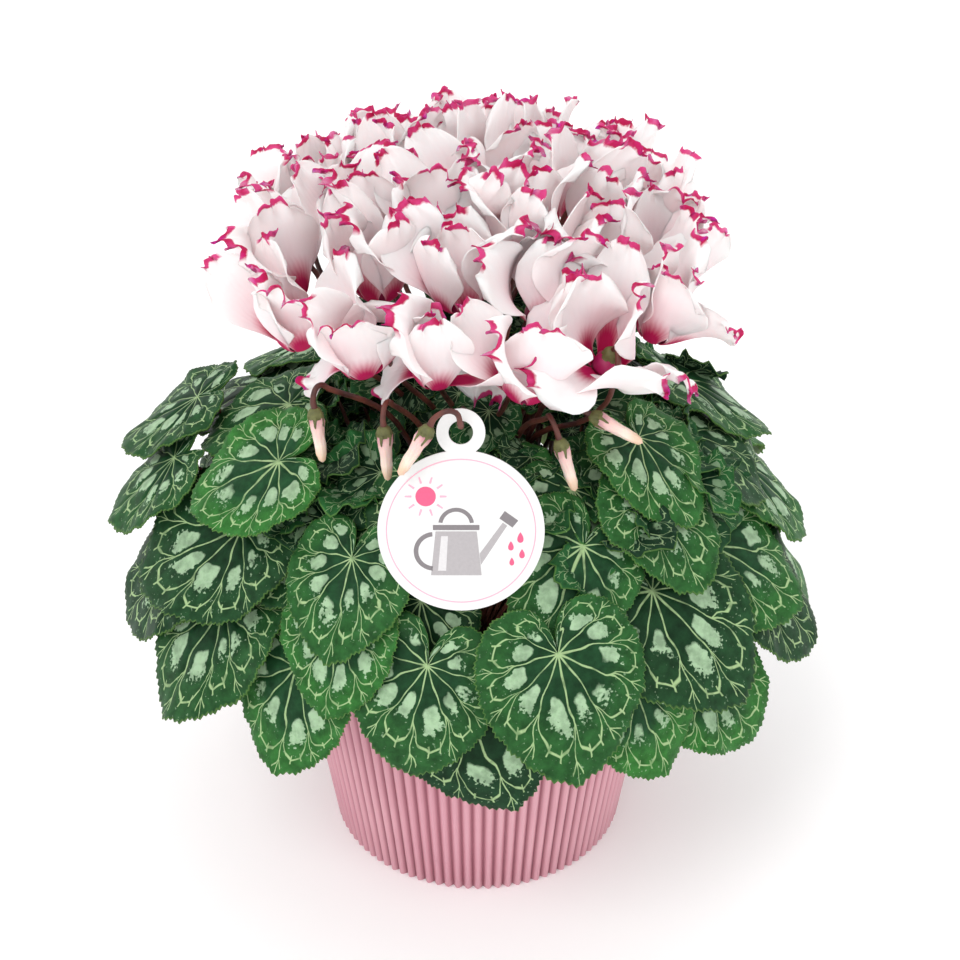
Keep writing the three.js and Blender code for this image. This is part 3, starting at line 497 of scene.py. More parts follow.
def add_leaf(bm, axes, index, template=leaf_template, teeth=TEETH, crumple=0.6, fold=0.0):
    """Adds one blade with its quilted relief, its toothed rim and its vein pattern."""
    _, x, rho, front, _ = template
    degrees = NOTCH_END * x
    angle = np.radians(degrees)
    length = axes[4]
    phase = 1.3 * index
    sector = np.sign(x) * np.interp(np.abs(degrees), VEIN_ANGLES, range(len(VEIN_ANGLES)))
    vein = np.floor(sector)
    share = sector - vein
    # Each vein forks at its own height, and each arch between two veins has its own crown. The
    # pattern sways half way out, so that no vein is straight.
    forks = (1 - share) * np.sin(12.9 * vein + 4.1 * index)
    forks = forks + share * np.sin(12.9 * (vein + 1) + 4.1 * index)
    crowns = 4 * share * (1 - share) * np.sin(7.7 * vein + 2.9 * index)
    sway = 4 * rho * (1 - rho)
    ring = rho + sway * (0.075 * forks + 0.07 * crowns)
    wander = 0.1 * np.sin(5 * rho + 2.3 * sector + phase) + 0.05 * np.sin(19 * rho + 5 * sector)
    sector = sector + sway * wander
    position = sector - np.floor(sector)
    side = 2 * position - 1
    # The blade is quilted: it sinks by half a millimetre along the veins and arches.
    to_vein = np.minimum(position, 1 - position) * 0.55 * rho * length
    to_arch = (ring - 0.6 - 0.17 * (1 - side ** 2)) * 0.7 * length
    groove = 0.7 * np.exp(-(to_vein / 1.8) ** 2) + 0.5 * np.exp(-(to_arch / 1.6) ** 2)
    relief = (0.4 - groove) * np.minimum(1, 5 * rho) * (1 - rho ** 6)
    # The rim is toothed, waved and crumpled, and a young blade is folded along its middle.
    tooth = np.round((x + 1) * teeth).astype(int) % 2
    toothing = np.where(rho > 0.97, 0.013 * (2 * tooth - 1) + 0.012 * np.sin(31 * angle + phase), 0.0)
    ruffle = crumple * rho ** 5 * (np.sin(11 * angle + 2 * phase) + 0.6 * np.sin(19 * angle + phase))
    folding = fold * length * rho * np.abs(np.sin(angle)) ** 1.5
    offset = np.where(front, LEAF_THICKNESS / 2, -LEAF_THICKNESS / 2) + relief + ruffle + folding
    places = blade_points(axes, index, rho, degrees, offset, toothing)
    # Blotches: one in each sector, each with its own strength, reach and place.
    strength = 1.0 + 0.4 * np.sin(5.3 * np.floor(sector) + 2.7 * index)
    middle = 0.54 + 0.04 * np.sin(3.1 * np.floor(sector) + index)
    shift = side - 0.2 * np.sin(8.1 * np.floor(sector) + index)
    silver = strength * np.exp(-(shift / 0.62) ** 4 - ((ring - middle) / 0.13) ** 4)
    grow_slab(bm, template, places, np.stack((sector + LEAF_CODE * index, ring), 1), silver)


# Arms: where a vein forks they run out in straight runs to those of the next one, and close an
# arch. Twigs: the small forks near the rim. Each row: the way from stalk to rim against the distance
# from the middle between two veins, the distance from which it shows, and half its width.
ARMS = [
    (((0, 0.85), (0.28, 0.85), (0.66, 0.77), (1, 0.58)), -1, 0.0085),
    (((0, 0.97), (0.5, 0.97), (0.8, 0.93), (1, 0.83)), 0.78, 0.0065),
]


def leaf_skin(name, roughness, colours):
    """A waxy leaf: dark green with pale veins, silver blotches and a light rim. Its pattern map holds
    the number of the main vein and the way from stalk to rim, so the veins stay as fine as drawn."""
    skin, place = new_material(name)
    pattern = add(skin, "SeparateXYZ", (add(skin, "UVMap", uv_map="pattern"),))
    way = pattern.outputs["Y"]
    position = add(skin, "FRACT", (pattern.outputs["X"],))
    side = add(skin, "MULTIPLY_ADD", (position, 2.0, -1.0))
    side = add(skin, "ABSOLUTE", (side,))

    # Main veins: the distance to the nearest one, in leaf lengths, against a width that tapers.
    from_vein = add(skin, "SUBTRACT", (1.0, side))
    from_vein = add(skin, "MULTIPLY", (from_vein, way))
    vein_width = add(skin, "MULTIPLY_ADD", (way, -0.024, 0.037))
    ratio = add(skin, "DIVIDE", (from_vein, vein_width))
    veins = add(skin, "MapRange", (ratio, 0.7, 1.3, 1.0, 0.0))
    for corners, inner, width in ARMS:
        arm = add(skin, "FloatCurve", {"Value": side})
        bend = arm.mapping.curves[0]
        bend.points[0].location, bend.points[1].location = corners[0], corners[-1]
        for corner in corners[1:-1]:
            bend.points.new(*corner)
        for point in bend.points:
            point.handle_type = "VECTOR"
        arm.mapping.update()
        gap = add(skin, "SUBTRACT", (way, arm))
        gap = add(skin, "ABSOLUTE", (gap,))
        steepness = add(skin, "MapRange", (side, 0.25, 0.35, 1.0, 1.9))
        gap = add(skin, "DIVIDE", (gap, steepness))
        line = add(skin, "MapRange", (gap, 0.6 * width, 1.3 * width, 1.0, 0.0))
        shown = add(skin, "GREATER_THAN", (side, inner))
        line = add(skin, "MULTIPLY", (line, shown))
        veins = add(skin, "MAXIMUM", (veins, line))

    # Spurs run out from the corners of the arms towards the rim.
    from_spur = add(skin, "MULTIPLY_ADD", (way, 0.45, -0.06))
    from_spur = add(skin, "SUBTRACT", (side, from_spur))
    from_spur = add(skin, "ABSOLUTE", (from_spur,))
    spur = add(skin, "MapRange", (from_spur, 0.02, 0.05, 1.0, 0.0))
    after = add(skin, "GREATER_THAN", (way, 0.8))
    before = add(skin, "LESS_THAN", (way, 0.89))
    spur = add(skin, "MULTIPLY", (spur, after))
    spur = add(skin, "MULTIPLY", (spur, before))
    veins = add(skin, "MAXIMUM", (veins, spur))
    # All veins fade and come back every 5 mm.
    breaks = add(skin, "TexNoise", {"Vector": place, "Scale": 210.0, "Detail": 3.0})
    strength = add(skin, "MapRange", (breaks, 0.34, 0.52, 0.45, 0.9))
    veins = add(skin, "MULTIPLY", (veins, strength), use_clamp=True)

    # Ground colour: dark in the middle, greener at the margin, mottled every 5 mm. Each leaf has its
    # own shade, from fresh to greyish green.
    own = add(skin, "MULTIPLY", (pattern.outputs["X"], 1 / LEAF_CODE))
    own = add(skin, "ROUND", (own, 1.0))
    own = add(skin, "TexWhiteNoise", {"W": own}, noise_dimensions="1D").outputs["Value"]
    mottle = add(skin, "TexNoise", {"Vector": place, "Scale": 190.0, "Detail": 4.0, "Roughness": 0.6})
    zone = add(skin, "MapRange", (way, 0.45, 0.75))
    margin = add(skin, "MixRGB", (own, colours["margin"], colours["grey"]))
    ground = add(skin, "MixRGB", (zone, colours["middle"], margin))
    shade = add(skin, "MapRange", (mottle, 0.3, 0.7, 0.6, 1.35))
    own_light = add(skin, "MapRange", {"Value": own, "To Min": 1.25, "To Max": 0.7})
    shade = add(skin, "MULTIPLY", (shade, own_light))
    ground = add(skin, "VectorMath", {0: ground, "Scale": shade}, operation="SCALE")

    # Blotches: soft on the side of the stalk, crumbling into teeth and specks on that of the rim.
    blotch = add(skin, "Attribute", attribute_name="mark").outputs["Fac"]
    crumble = add(skin, "TexNoise", {"Vector": place, "Scale": 620.0, "Detail": 3.0})
    ragged = add(skin, "MapRange", (crumble, 0.3, 0.7, -0.6, 0.45))
    outer = add(skin, "MapRange", (way, 0.48, 0.62, 0.1))
    ragged = add(skin, "MULTIPLY", (ragged, outer))
    ragged = add(skin, "ADD", (blotch, ragged))
    blotch = add(skin, "MapRange", (ragged, 0.34, 0.56, 0.0, 0.95))
    cloudy = add(skin, "MapRange", (mottle, 0.35, 0.6, 0.6))
    blotch = add(skin, "MULTIPLY", (blotch, cloudy))
    colour = add(skin, "MixRGB", (blotch, ground, colours["blotch"]))
    colour = add(skin, "MixRGB", (veins, colour, colours["vein"]))
    rim = add(skin, "MapRange", (way, 0.985, 1.0, 0.0, 0.55))
    colour = add(skin, "MixRGB", (rim, colour, colours["rim"]))

    # The veins lie a little sunken in a leathery skin with a low waxy gloss.
    relief = add(skin, "MULTIPLY_ADD", (veins, -0.6, 0.0))
    relief = add(skin, "MULTIPLY_ADD", (mottle, 0.5, relief))
    bump = add(skin, "Bump", {"Height": relief, "Strength": 0.35, "Distance": 0.0006})
    give_surface(skin, {
        "Base Color": colour, "Normal": bump, "Roughness": roughness, "IOR": 1.4, "Specular IOR Level": 0.12,
        "Subsurface Weight": 0.08, "Subsurface Radius": (0.3, 1.0, 0.2), "Subsurface Scale": 0.001,
    })
    return skin


leaf_top = leaf_skin("waxy leaf blade", 0.45, {
    "middle": "#1B3E24", "margin": "#2C6029", "grey": "#22432B", "blotch": "#A6C49F", "vein": "#A6C28C",
    "rim": "#6A8E48",
})
# The underside is duller and paler, with hardly any silver.
leaf_under = leaf_skin("leaf underside", 0.6, {
    "middle": "#5E7A44", "margin": "#66834A", "grey": "#5F7450", "blotch": "#6F8B52", "vein": "#93A56A",
    "rim": "#86984F",
})
# Young leaves: a darker copy of the blade skin, with dimmer veins and silver, as painted shade for the small
# leaves crowded in the gaps under the flower head and among the older leaves.
young_shaded_skin = leaf_skin("young leaf blade in painted shade", 0.5, {
    "middle": "#12301C", "margin": "#24562B", "grey": "#1F3D2A", "blotch": "#7C9876", "vein": "#93AE80",
    "rim": "#5F8440",
})
# Stalks: soft flesh, dull red to brown in long streaks.
stalk_skin = mottled("fleshy leaf stalk", 60.0, 3.0, ((0.35, "#4A231D"), (0.65, "#704234")), 0.5)
blade_skins = [leaf_top, leaf_under, stalk_skin, young_shaded_skin]

# Young leaves: small, folded and crumpled, crowded between the stems under the flower head, and
# pushed up among the older leaves. Each row: how many, the first and last bearing, the
# nearest and farthest reach, the height at the axis, its fall outwards, and its spread.
YOUNG_CROWDS = [
    (92, -180, 180, 14, 90, 252, 0.3, 22),
    (22, -40, 220, 8, 66, 278, 0.2, 8),
    (50, -178, 2, 62, 112, 266, 0.38, 8),
    (46, 20, 160, 50, 112, 224, 0.1, 18),
    (7, 164, 179, 86, 106, 188, 0.0, 14),
]
tag_low, tag_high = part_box("tag")
TAG_ROOM = 16  # no young leaf stands nearer to the tag
STALK_BOW = np.array((0.375, 0.375, 0.625))  # a stalk rises before it leans out
draw = random.Random(5)
young = []
for count, first, last, nearest, farthest, top, fall, spread in YOUNG_CROWDS:
    for number in range(count):
        bearing = draw.uniform(first, last)
        reach = nearest + (farthest - nearest) * math.sqrt(draw.random())
        height = top - fall * reach + draw.uniform(-spread, spread)
        heading = bearing + draw.uniform(-75, 75)
        droop, length = draw.uniform(-25, 50), draw.uniform(20, 32)
        x, y, _ = polar(reach, math.radians(bearing))
        beside_tag = tag_low.x / MM - TAG_ROOM < x < tag_high.x / MM + TAG_ROOM
        if not (beside_tag and y < tag_high.y / MM + TAG_ROOM):
            young.append((bearing, reach, height, heading, droop, length))

order = sorted(range(len(LEAVES)), key=lambda index: LEAVES[index][0])
group_count = math.ceil(len(order) / LEAVES_PER_GROUP)
for group in range(group_count):
    node_name = f"leaf_group_{group + 1:02d}"
    node_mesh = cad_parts[node_name].data
    node_points = np.array([v.co for v in node_mesh.vertices]) / MM
    bearing = -math.pi + 2 * math.pi * (group + 0.5) / group_count
    foot = np.array(polar(CROWN_RADIUS, bearing, CROWN_HEIGHT))
    bm = bmesh.new()
    add_stalk(bm, [foot - (0, 0, 4), foot + (0, 0, 2)], [2.5, 1.6], STALK)
    for index in order[LEAVES_PER_GROUP * group:LEAVES_PER_GROUP * (group + 1)]:
        axes = leaf_frame(LEAVES[index], leaf_lift(index, node_points))
        end = axes[0] + 2 * axes[1] - 0.4 * axes[3]
        add_stalk(bm, [foot, foot + STALK_BOW * (end - foot), end], [1.5, 1.25, 1.0], STALK)
        add_leaf(bm, axes, index)
    for number, leaf in enumerate(young):
        if int((leaf[0] + 180) / 360 * group_count) == group:
            axes = leaf_frame(leaf, 0)
            end = axes[0] + axes[1] - 0.4 * axes[3]
            add_stalk(bm, [foot, 0.45 * foot + 0.55 * end - (0, 0, 4), end], [1.1, 1.0, 0.8], STALK)
            fold = 0.22 + 0.22 * math.sin(2.9 * number)
            add_leaf(bm, axes, number, young_template, YOUNG_TEETH, 1.8, fold)
    bmesh.ops.remove_doubles(bm, verts=bm.verts[:], dist=1e-6)
    finish_piece(f"leaves_{group + 1:02d}", bm, blade_skins, node_name)

# ---------------------------------------------------------------- blooms
# Each bloom hangs from a hooked stem with its mouth down and its five broad petals thrown up. The
# petals are thin, white flushed with pink, deep magenta at the mouth, and cut into a curled magenta
# frill along the crest.
# A bloom: x and y of its mouth, its lean outward in degrees, the turn of its stem gap from the
# inward direction in degrees, and its size against a full bloom.
BLOOMS = [
    (-17, -78, 16, 20, 1), (-48, -68, 18, -15, 1), (20, -84, 14, 10, 1.05), (54, -66, 20, 150, 1),
    (-76, -44, 18, 10, 1), (76, -40, 18, -20, 1), (-82, -8, 16, 0, 1), (82, -4, 18, 15, 0.95),
    (-82, 28, 18, -10, 1.04), (76, 34, 16, 20, 0.95), (-64, 60, 16, 0, 0.95), (58, 64, 16, -20, 1),
    (-34, 78, 12, -20, 1), (-2, 84, 10, 40, 1), (28, 78, 12, 0, 1), (-42, -30, 8, 30, 1),
    (-8, -42, 8, -30, 1), (26, -46, 8, 40, 1), (48, -18, 10, -40, 1), (-50, 6, 8, 0, 1),
    (44, 20, 10, 20, 1), (-32, 40, 8, 20, 1), (4, 48, 8, 0, 1), (-14, -6, 4, 60, 1),
    (18, -10, 4, -60, 1), (-2, 22, 4, 180, 0.95), (-58, 32, 12, 0, 0.85), (32, 48, 10, 40, 0.85),
]
BLOOM_SPACING = 36.5
SPACING_LEVEL = 36
SPACING_ROUNDS = 120
MOUTH_RADIUS = 6.4
PETAL_LENGTH = 48
PETAL_PITCH = 62
PETAL_THICKNESS = 0.5
TUBE_HEIGHT = 8
HEAD_TOP = 320
HEAD_SLOPE = 0.08
HEAD_DOME = 0.0028


def head_height(x, y):
    """The height of a mouth in the flower head, a shallow dome that leans to the front."""
    return HEAD_TOP + HEAD_SLOPE * y - HEAD_DOME * (x * x + y * y)


def bloom_axis(x, y, lean):
    """The way up through a bloom, which leans out from the middle of the head."""
    tilt = math.radians(lean)
    return Vector(polar(math.sin(tilt), math.atan2(y, x), math.cos(tilt)))


def spread_blooms():
    """The mouths' x and y once blooms that crowd one another have moved apart."""
    places = [[x, y] for x, y, *_ in BLOOMS]
    for _ in range(SPACING_ROUNDS):
        for i in range(len(places)):
            for j in range(i + 1, len(places)):
                a, b = (
                    Vector((*places[k], head_height(*places[k])))
                    + SPACING_LEVEL * BLOOMS[k][4] * bloom_axis(*places[k], BLOOMS[k][2])
                    for k in (i, j)
                )
                wanted = BLOOM_SPACING * (BLOOMS[i][4] + BLOOMS[j][4]) / 2
                apart = (a - b).length
                if apart < wanted:
                    push = 0.25 * (wanted - apart) / math.hypot(a.x - b.x, a.y - b.y)
                    for k, way in ((i, push), (j, -push)):
                        places[k][0] += way * (a.x - b.x)
                        places[k][1] += way * (a.y - b.y)
    return places


def bloom_matrix(index, x, y):
    """The placing of a bloom: its mouth, its axis and the direction of its stem gap."""
    _, _, lean, gap_turn, size = BLOOMS[index]
    axis = bloom_axis(x, y, lean)
    gap = Vector(polar(1, math.atan2(y, x) + math.pi + math.radians(gap_turn)))
    gap = (gap - gap.dot(axis) * axis).normalized()
    third = axis.cross(gap)
    turn = Matrix((gap, third, axis)).transposed().to_4x4()
    return Matrix.Translation((x, y, head_height(x, y))) @ turn @ Matrix.Scale(size, 4)


# Petals of the outer blooms that have fallen open or are held in. Each: the bloom and petal, and the
# petal's lean, twist and size.
FALLEN = {
    (0, 0): (140, 30, 0.7), (0, 3): (84, 60, 0.9), (0, 4): (150, 20, 0.8), (1, 1): (138, 24, 0.7),
    (1, 4): (40, 50, 1.0), (2, 0): (24, 40, 1.0), (2, 3): (76, 62, 1.0), (3, 0): (56, 45, 0.75),
    (3, 4): (62, 45, 1.0), (4, 1): (14, 30, 1.0), (4, 4): (74, 55, 1.0), (5, 2): (30, 50, 0.85),
    (5, 3): (-4, 30, 0.8), (6, 2): (-20, 14, 0.85), (7, 2): (-24, 30, 0.85), (8, 2): (-16, 60, 0.9),
    (8, 3): (-26, 12, 0.8),
}
CURVE_STEPS = np.linspace(0, 1, 41)
PETAL_COLUMNS = 60
PETAL_ROWS = 18
petal_template = slab_template("petal template", PETAL_COLUMNS, PETAL_ROWS, 0)


def add_petal(bm, number, petal, matrix, lean, twist, size=1.0):
    """Adds one petal, from its narrow claw at the mouth to its frilled crest."""
    _, s, y, front, _ = petal_template
    t = y - 0.09 * np.sin(2 * math.pi * y)
    centre = math.radians(180 + (petal - 2) * PETAL_PITCH)
    outward, upright = np.array(polar(1, centre)), np.array((0, 0, 1))
    sideways = np.cross(upright, outward)
    mood = math.sin(2.4 * number + 1.9 * petal)
    other = math.sin(3.1 * number + 2.3 * petal)
    phase = 5.0 * number + 1.3 * petal
    length = PETAL_LENGTH * size * (1 + 0.08 * other)

    # The middle line leaves the mouth sideways, turns up within a few millimetres, and leans.
    pitch = np.radians(lean + (62 - lean) * np.exp(-CURVE_STEPS / 0.14))
    pitch = pitch + (0.15 + 0.5 * other) * CURVE_STEPS ** 3
    step = length / (len(CURVE_STEPS) - 1)
    middle_radius = MOUTH_RADIUS + np.concatenate(((0,), np.cumsum(step * np.sin(pitch[1:]))))
    middle_height = np.concatenate(((0,), np.cumsum(step * np.cos(pitch[1:]))))
    way = t * (1 - 0.24 * np.abs(s) ** 2.4 * t ** 2)
    tilt = np.interp(way, CURVE_STEPS, pitch)

    # The petal widens from its claw, cups and narrows a little towards the crest, where it waves.
    widest = (16.5 + 2.5 * mood) * size
    half_width = 3 + (widest - 3) * np.sin(0.5 * math.pi * np.minimum(1, t / 0.62)) ** 2.1
    half_width = half_width * (1 - 0.16 * np.clip((t - 0.6) / 0.4, 0, 1) ** 2)
    across = half_width * s
    crest = np.clip((t - 0.8) / 0.2, 0, 1)
    frilled = np.exp(-((s - 0.2 * math.sin(1.7 * number + 2.9 * petal)) / (0.54 + 0.14 * mood)) ** 4)
    frill = frilled * crest ** 1.5
    cupping = (0.16 * other * t - across / (18 + 60 * t)) * across
    lift = cupping + frill * (3.2 * np.sin(5.5 * s + phase) + 2.8 * np.sin(12.5 * s + 2 * phase))
    across = across + frill * 1.7 * np.cos(12.5 * s + 2 * phase)
    curl = (2 + 4 * mood) * crest ** 2.5
    teeth = 0.6 * np.sin(33 * s + phase) + 0.5 * np.sin(49 * s + 3 * phase)
    teeth = teeth * frilled * np.clip((t - 0.93) / 0.07, 0, 1)

    # It twists on its way up, and is laid along the middle line.
    turn = math.radians(twist) * np.minimum(1, t / 0.7) ** 1.5
    tilt, turn = tilt[:, None], turn[:, None]
    normal = np.cos(tilt) * outward - np.sin(tilt) * upright
    upward = np.sin(tilt) * outward + np.cos(tilt) * upright
    edgeways = np.cos(turn) * sideways + np.sin(turn) * normal
    facing = np.cos(turn) * normal - np.sin(turn) * sideways
    lift = lift + curl - np.where(front, 0, PETAL_THICKNESS)
    local = np.interp(way, CURVE_STEPS, middle_radius)[:, None] * outward
    local = local + np.interp(way, CURVE_STEPS, middle_height)[:, None] * upright
    local = local + across[:, None] * edgeways + lift[:, None] * facing + teeth[:, None] * upward
    placing = np.array(matrix)
    places = local @ placing[:3, :3].T + placing[:3, 3]
    grow_slab(bm, petal_template, places, np.stack((s, t), 1), frilled)


# Petal flesh: thin, velvety and translucent. White, flushed with pink every few centimetres.
petal_skin, place = new_material("thin velvety petal")
pattern = add(petal_skin, "SeparateXYZ", (add(petal_skin, "UVMap", uv_map="pattern"),))
across, along = pattern.outputs["X"], pattern.outputs["Y"]
# Crest: the last few millimetres, ragged, and missing at the rounded shoulders.
ragged = add(petal_skin, "TexNoise", {"Vector": place, "Scale": 240.0, "Detail": 3.0})
edge = add(petal_skin, "MULTIPLY_ADD", (ragged, 0.075, along))
crest = add(petal_skin, "MapRange", (edge, 0.98, 0.996))
frilled = add(petal_skin, "Attribute", attribute_name="mark").outputs["Fac"]
shoulder = add(petal_skin, "MULTIPLY_ADD", (ragged, 0.3, frilled))
shoulder = add(petal_skin, "MapRange", (shoulder, 0.55, 0.75))
crest = add(petal_skin, "MULTIPLY", (crest, shoulder))
# Mouth: solid magenta that runs up the petal in streaks and fades into pink.
wander = add(petal_skin, "TexNoise", {"Vector": place, "Scale": 120.0, "Detail": 2.0})
streak = add(petal_skin, "MULTIPLY_ADD", (across, 3.0, wander))
streak = add(petal_skin, "MULTIPLY", (streak, 11.0))
streak = add(petal_skin, "SINE", (streak,))
flame = add(petal_skin, "MULTIPLY_ADD", (streak, 0.009, along))
beside = add(petal_skin, "MULTIPLY", (across, across))
flame = add(petal_skin, "MULTIPLY_ADD", (beside, 0.18, flame))
mouth, blush = [
    add(petal_skin, "MapRange", (flame, start, end, 1.0, 0.0), interpolation_type="SMOOTHSTEP")
    for start, end in ((0.2, 0.47), (0.25, 1.0))
]
tissue = add(petal_skin, "TexNoise", {"Vector": place, "Scale": 26.0, "Detail": 2.0})
blush = add(petal_skin, "MULTIPLY", (blush, tissue))
colour = add(petal_skin, "MixRGB", (blush, "#FBF3F2", "#F6BECA"))
colour = add(petal_skin, "MixRGB", (mouth, colour, "#B40E52"))
frill_shade = add(petal_skin, "MapRange", (wander, 0.42, 0.62))
frill = add(petal_skin, "MixRGB", (frill_shade, "#AC0A4B", "#CB3B7C"))
colour = add(petal_skin, "MixRGB", (crest, colour, frill))
vein_bump = add(petal_skin, "Bump", {"Height": streak, "Strength": 0.08, "Distance": 0.0003})
give_surface(petal_skin, {
    "Base Color": colour, "Normal": vein_bump, "Roughness": 0.7, "IOR": 1.35, "Subsurface Weight": 0.6,
    "Subsurface Radius": (1.0, 0.7, 0.7), "Subsurface Scale": 0.0016,
})
# The tube is waxy, deep magenta; the anthers are a dry cone with grains of pollen, drawn at 2 mm.
tube_skin = mottled("magenta corolla tube", 300.0, 2.0, ((0, "#7E0A45"), (1, "#B8175F")), 0.5)
anther_skin = mottled("dry anther cone", 500.0, 2.0, ((0, "#4A3A1C"), (1, "#8C7A3C")), 0.7)

TUBE_PROFILE = [(5.2, 0.3), (6.2, 0.4), (6.3, 2.5), (5.4, 6), (3.2, TUBE_HEIGHT - 0.3), (0.01, TUBE_HEIGHT)]
ANTHER_PROFILE = [(0.01, -3.4), (0.7, -3), (1.6, -1), (2, 1), (1.8, 2.4), (0.01, 2.6)]
HEAD_RADIUS = 85
PETALS = 5
mouths = spread_blooms()
matrices = [bloom_matrix(index, *mouths[index]) for index in range(len(BLOOMS))]
for index, matrix in enumerate(matrices):
    x, y = mouths[index]
    # Petals on the outer side of the head stand closer to the bloom's axis.
    rim_side = math.hypot(x, y) / HEAD_RADIUS
    gap_turn = BLOOMS[index][3]
    bm = bmesh.new()
    for petal in range(PETALS):
        facing = math.cos(math.radians((petal - 2) * PETAL_PITCH + gap_turn))
        held_in = rim_side * max(0, facing)
        lean = (6 + 18 * math.sin(4.1 * petal + 2.3 * index)) * (1 - 0.75 * held_in) - 6 * held_in
        twist = 34 + 26 * math.sin(2.7 * petal + 1.9 * index)
        lean, twist, size = FALLEN.get((index, petal), (lean, twist, 1.0))
        add_petal(bm, index, petal, matrix, lean, twist, size)
    placing = Matrix.Scale(MM, 4) @ matrix
    turned(bm, TUBE_PROFILE, 30, placing=placing, skin=1)
    turned(bm, ANTHER_PROFILE, 15, placing=placing, skin=2)
    node_name = f"bloom_{index + 1:02d}"
    finish_piece(f"flower_{index + 1:02d}", bm, [petal_skin, tube_skin, anther_skin], node_name)

# ---------------------------------------------------------------- stems and calyces
# Fleshy reddish-brown stems rise from one foot in the crown; each hooks over at its top and ends
# in a small olive-brown calyx of five pointed sepals. The last one carries the tag.
BUDS = [
    ((-68, -84, 284), (0.1, -0.1, -1), (-36, -46, 256)),
    ((-39, -92, 280), (0.05, -0.1, -1), (-22, -50, 250)),
    ((34, -94, 275), (0.3, -0.1, -1), (18, -50, 252)),
    ((48, -86, 283), (0.85, -0.15, -0.45), (28, -44, 262)),
]
TAG_BUD = ((-13, -9, 7), (-0.5, -0.1, -0.85))
TAG_EAR_DISTANCE = 42
TAG_HOLE_RADIUS = 5
TAG_LEAN = 17
STEM_RADIUS = 1.2
FOOT_PROFILE = [
    (0.01, GROOVE_FLOOR + 0.3), (11.6, GROOVE_FLOOR + 0.3), (11.8, CROWN_HEIGHT), (9.5, CROWN_HEIGHT + 2.6),
    (0.01, CROWN_HEIGHT + 3),
]
CALYX_PROFILE = [(0.01, -2.4), (1.6, -2.2), (2.7, -1), (3.2, 0.8), (3.4, 2.4), (2.9, 2.6), (0.01, 2.2)]
SEPALS = 5
stem_bm = bmesh.new()
turned(stem_bm, FOOT_PROFILE, 48)


def lobed(angle, radius, z):
    """Five shallow ribs, as on a calyx."""
    return radius * (1 + 0.08 * math.cos(SEPALS * angle)), z


def add_calyx(base, direction, size):
    """Five pointed sepals that clasp what hangs from the stem's end."""
    turn = Vector(direction).to_track_quat("Z", "Y").to_matrix().to_4x4()
    placing = Matrix.Scale(MM, 4) @ Matrix.Translation(base) @ turn @ Matrix.Scale(size, 4)
    turned(stem_bm, CALYX_PROFILE, 20, relief=lobed, placing=placing, skin=1)
    for sepal in range(SEPALS):
        spin = Matrix.Rotation(2 * math.pi * sepal / SEPALS, 4, "Z") @ Matrix.Translation((3.1, 0, 3.6))
        blade = bmesh.ops.create_cone(
            stem_bm, cap_ends=True, segments=8, radius1=1, radius2=0.15, depth=1.6,
            matrix=placing @ spin @ Matrix.Diagonal((0.5, 1.5, 3.2, 1)),
        )["verts"]
        for face in {face for vertex in blade for face in vertex.link_faces}:
            face.material_index = 1


# Each flower stem rises beside its bloom, through the gap between its petals, hooks over and comes
# down into the tube.
for matrix in matrices:
    beside = matrix @ Vector((13, 0, -8))
    foot = Vector((0.1 * beside.x, 0.1 * beside.y, CROWN_HEIGHT))
    knee = Vector((0.4 * beside.x, 0.4 * beside.y, 0.3 * CROWN_HEIGHT + 0.7 * beside.z))
    hook = [matrix @ Vector((x, 0, z)) for x, z in ((12, 8), (7, 15), (1.5, 13.5), (0, TUBE_HEIGHT + 0.4))]
    add_stalk(stem_bm, [foot, knee, beside, *hook], [1.6, 1.3] + 4 * [STEM_RADIUS] + [1.6])
    axis = matrix.to_3x3() @ Vector((0, 0, -1))
    add_calyx(matrix @ Vector((0, 0, TUBE_HEIGHT + 1.2)), axis, 1.15)

buds = []
for calyx, direction, middle in BUDS:
    calyx, pointing, middle = Vector(calyx), Vector(direction).normalized(), Vector(middle)
    inward = (middle - calyx) * Vector((1, 1, 0))
    inward.normalize()
    path = [
        Vector((0.08 * calyx.x, 0.08 * calyx.y, CROWN_HEIGHT)), middle, calyx - 6 * pointing + 10 * inward,
        calyx - 10 * pointing + 4 * inward, calyx - 6 * pointing, calyx - 0.45 * pointing,
    ]
    add_stalk(stem_bm, path, [1.5, 1.3, 1.2, 1.2, 1.2, 1.5])
    buds.append((calyx, pointing))

# The tag's place is read from its node: the ear's hole is TAG_EAR_DISTANCE above its centre.
lean = math.radians(TAG_LEAN)
tag_up = Vector((0, math.sin(lean), math.cos(lean)))
tag_out = Vector((0, -math.cos(lean), math.sin(lean)))
TAG_RADIUS = 34.5
TAG_THICKNESS = 0.8
tag_centre = Vector((
    (tag_low.x + tag_high.x) / 2,
    tag_low.y + (TAG_RADIUS * math.sin(lean) + TAG_THICKNESS / 2 * math.cos(lean)) * MM,
    tag_low.z + (TAG_RADIUS * math.cos(lean) + TAG_THICKNESS / 2 * math.sin(lean)) * MM,
)) / MM
tag_turn = Matrix((Vector((1, 0, 0)), tag_up, tag_out)).transposed().to_4x4()
tag_matrix = Matrix.Translation(tag_centre) @ tag_turn
seat = TAG_EAR_DISTANCE + TAG_HOLE_RADIUS - STEM_RADIUS - CLEARANCE
hole = tag_matrix @ Vector((0, TAG_EAR_DISTANCE, 0))
calyx, pointing = hole + Vector(TAG_BUD[0]), Vector(TAG_BUD[1]).normalized()
path = [Vector((-2, -9, CROWN_HEIGHT)), Vector((-6, -40, 256))]
path += [tag_matrix @ Vector(point) for point in ((0, seat - 3, -14), (0, seat, -4), (0, seat, 4))]
path += [calyx - 9 * pointing + Vector((5, 0, 0)), calyx - 6 * pointing, calyx - 0.45 * pointing]
add_stalk(stem_bm, path, [1.5, 1.3] + 5 * [STEM_RADIUS] + [1.5])
buds.append((calyx, pointing))
for calyx, pointing in buds:
    add_calyx(calyx + 0.6 * pointing, pointing, 1)

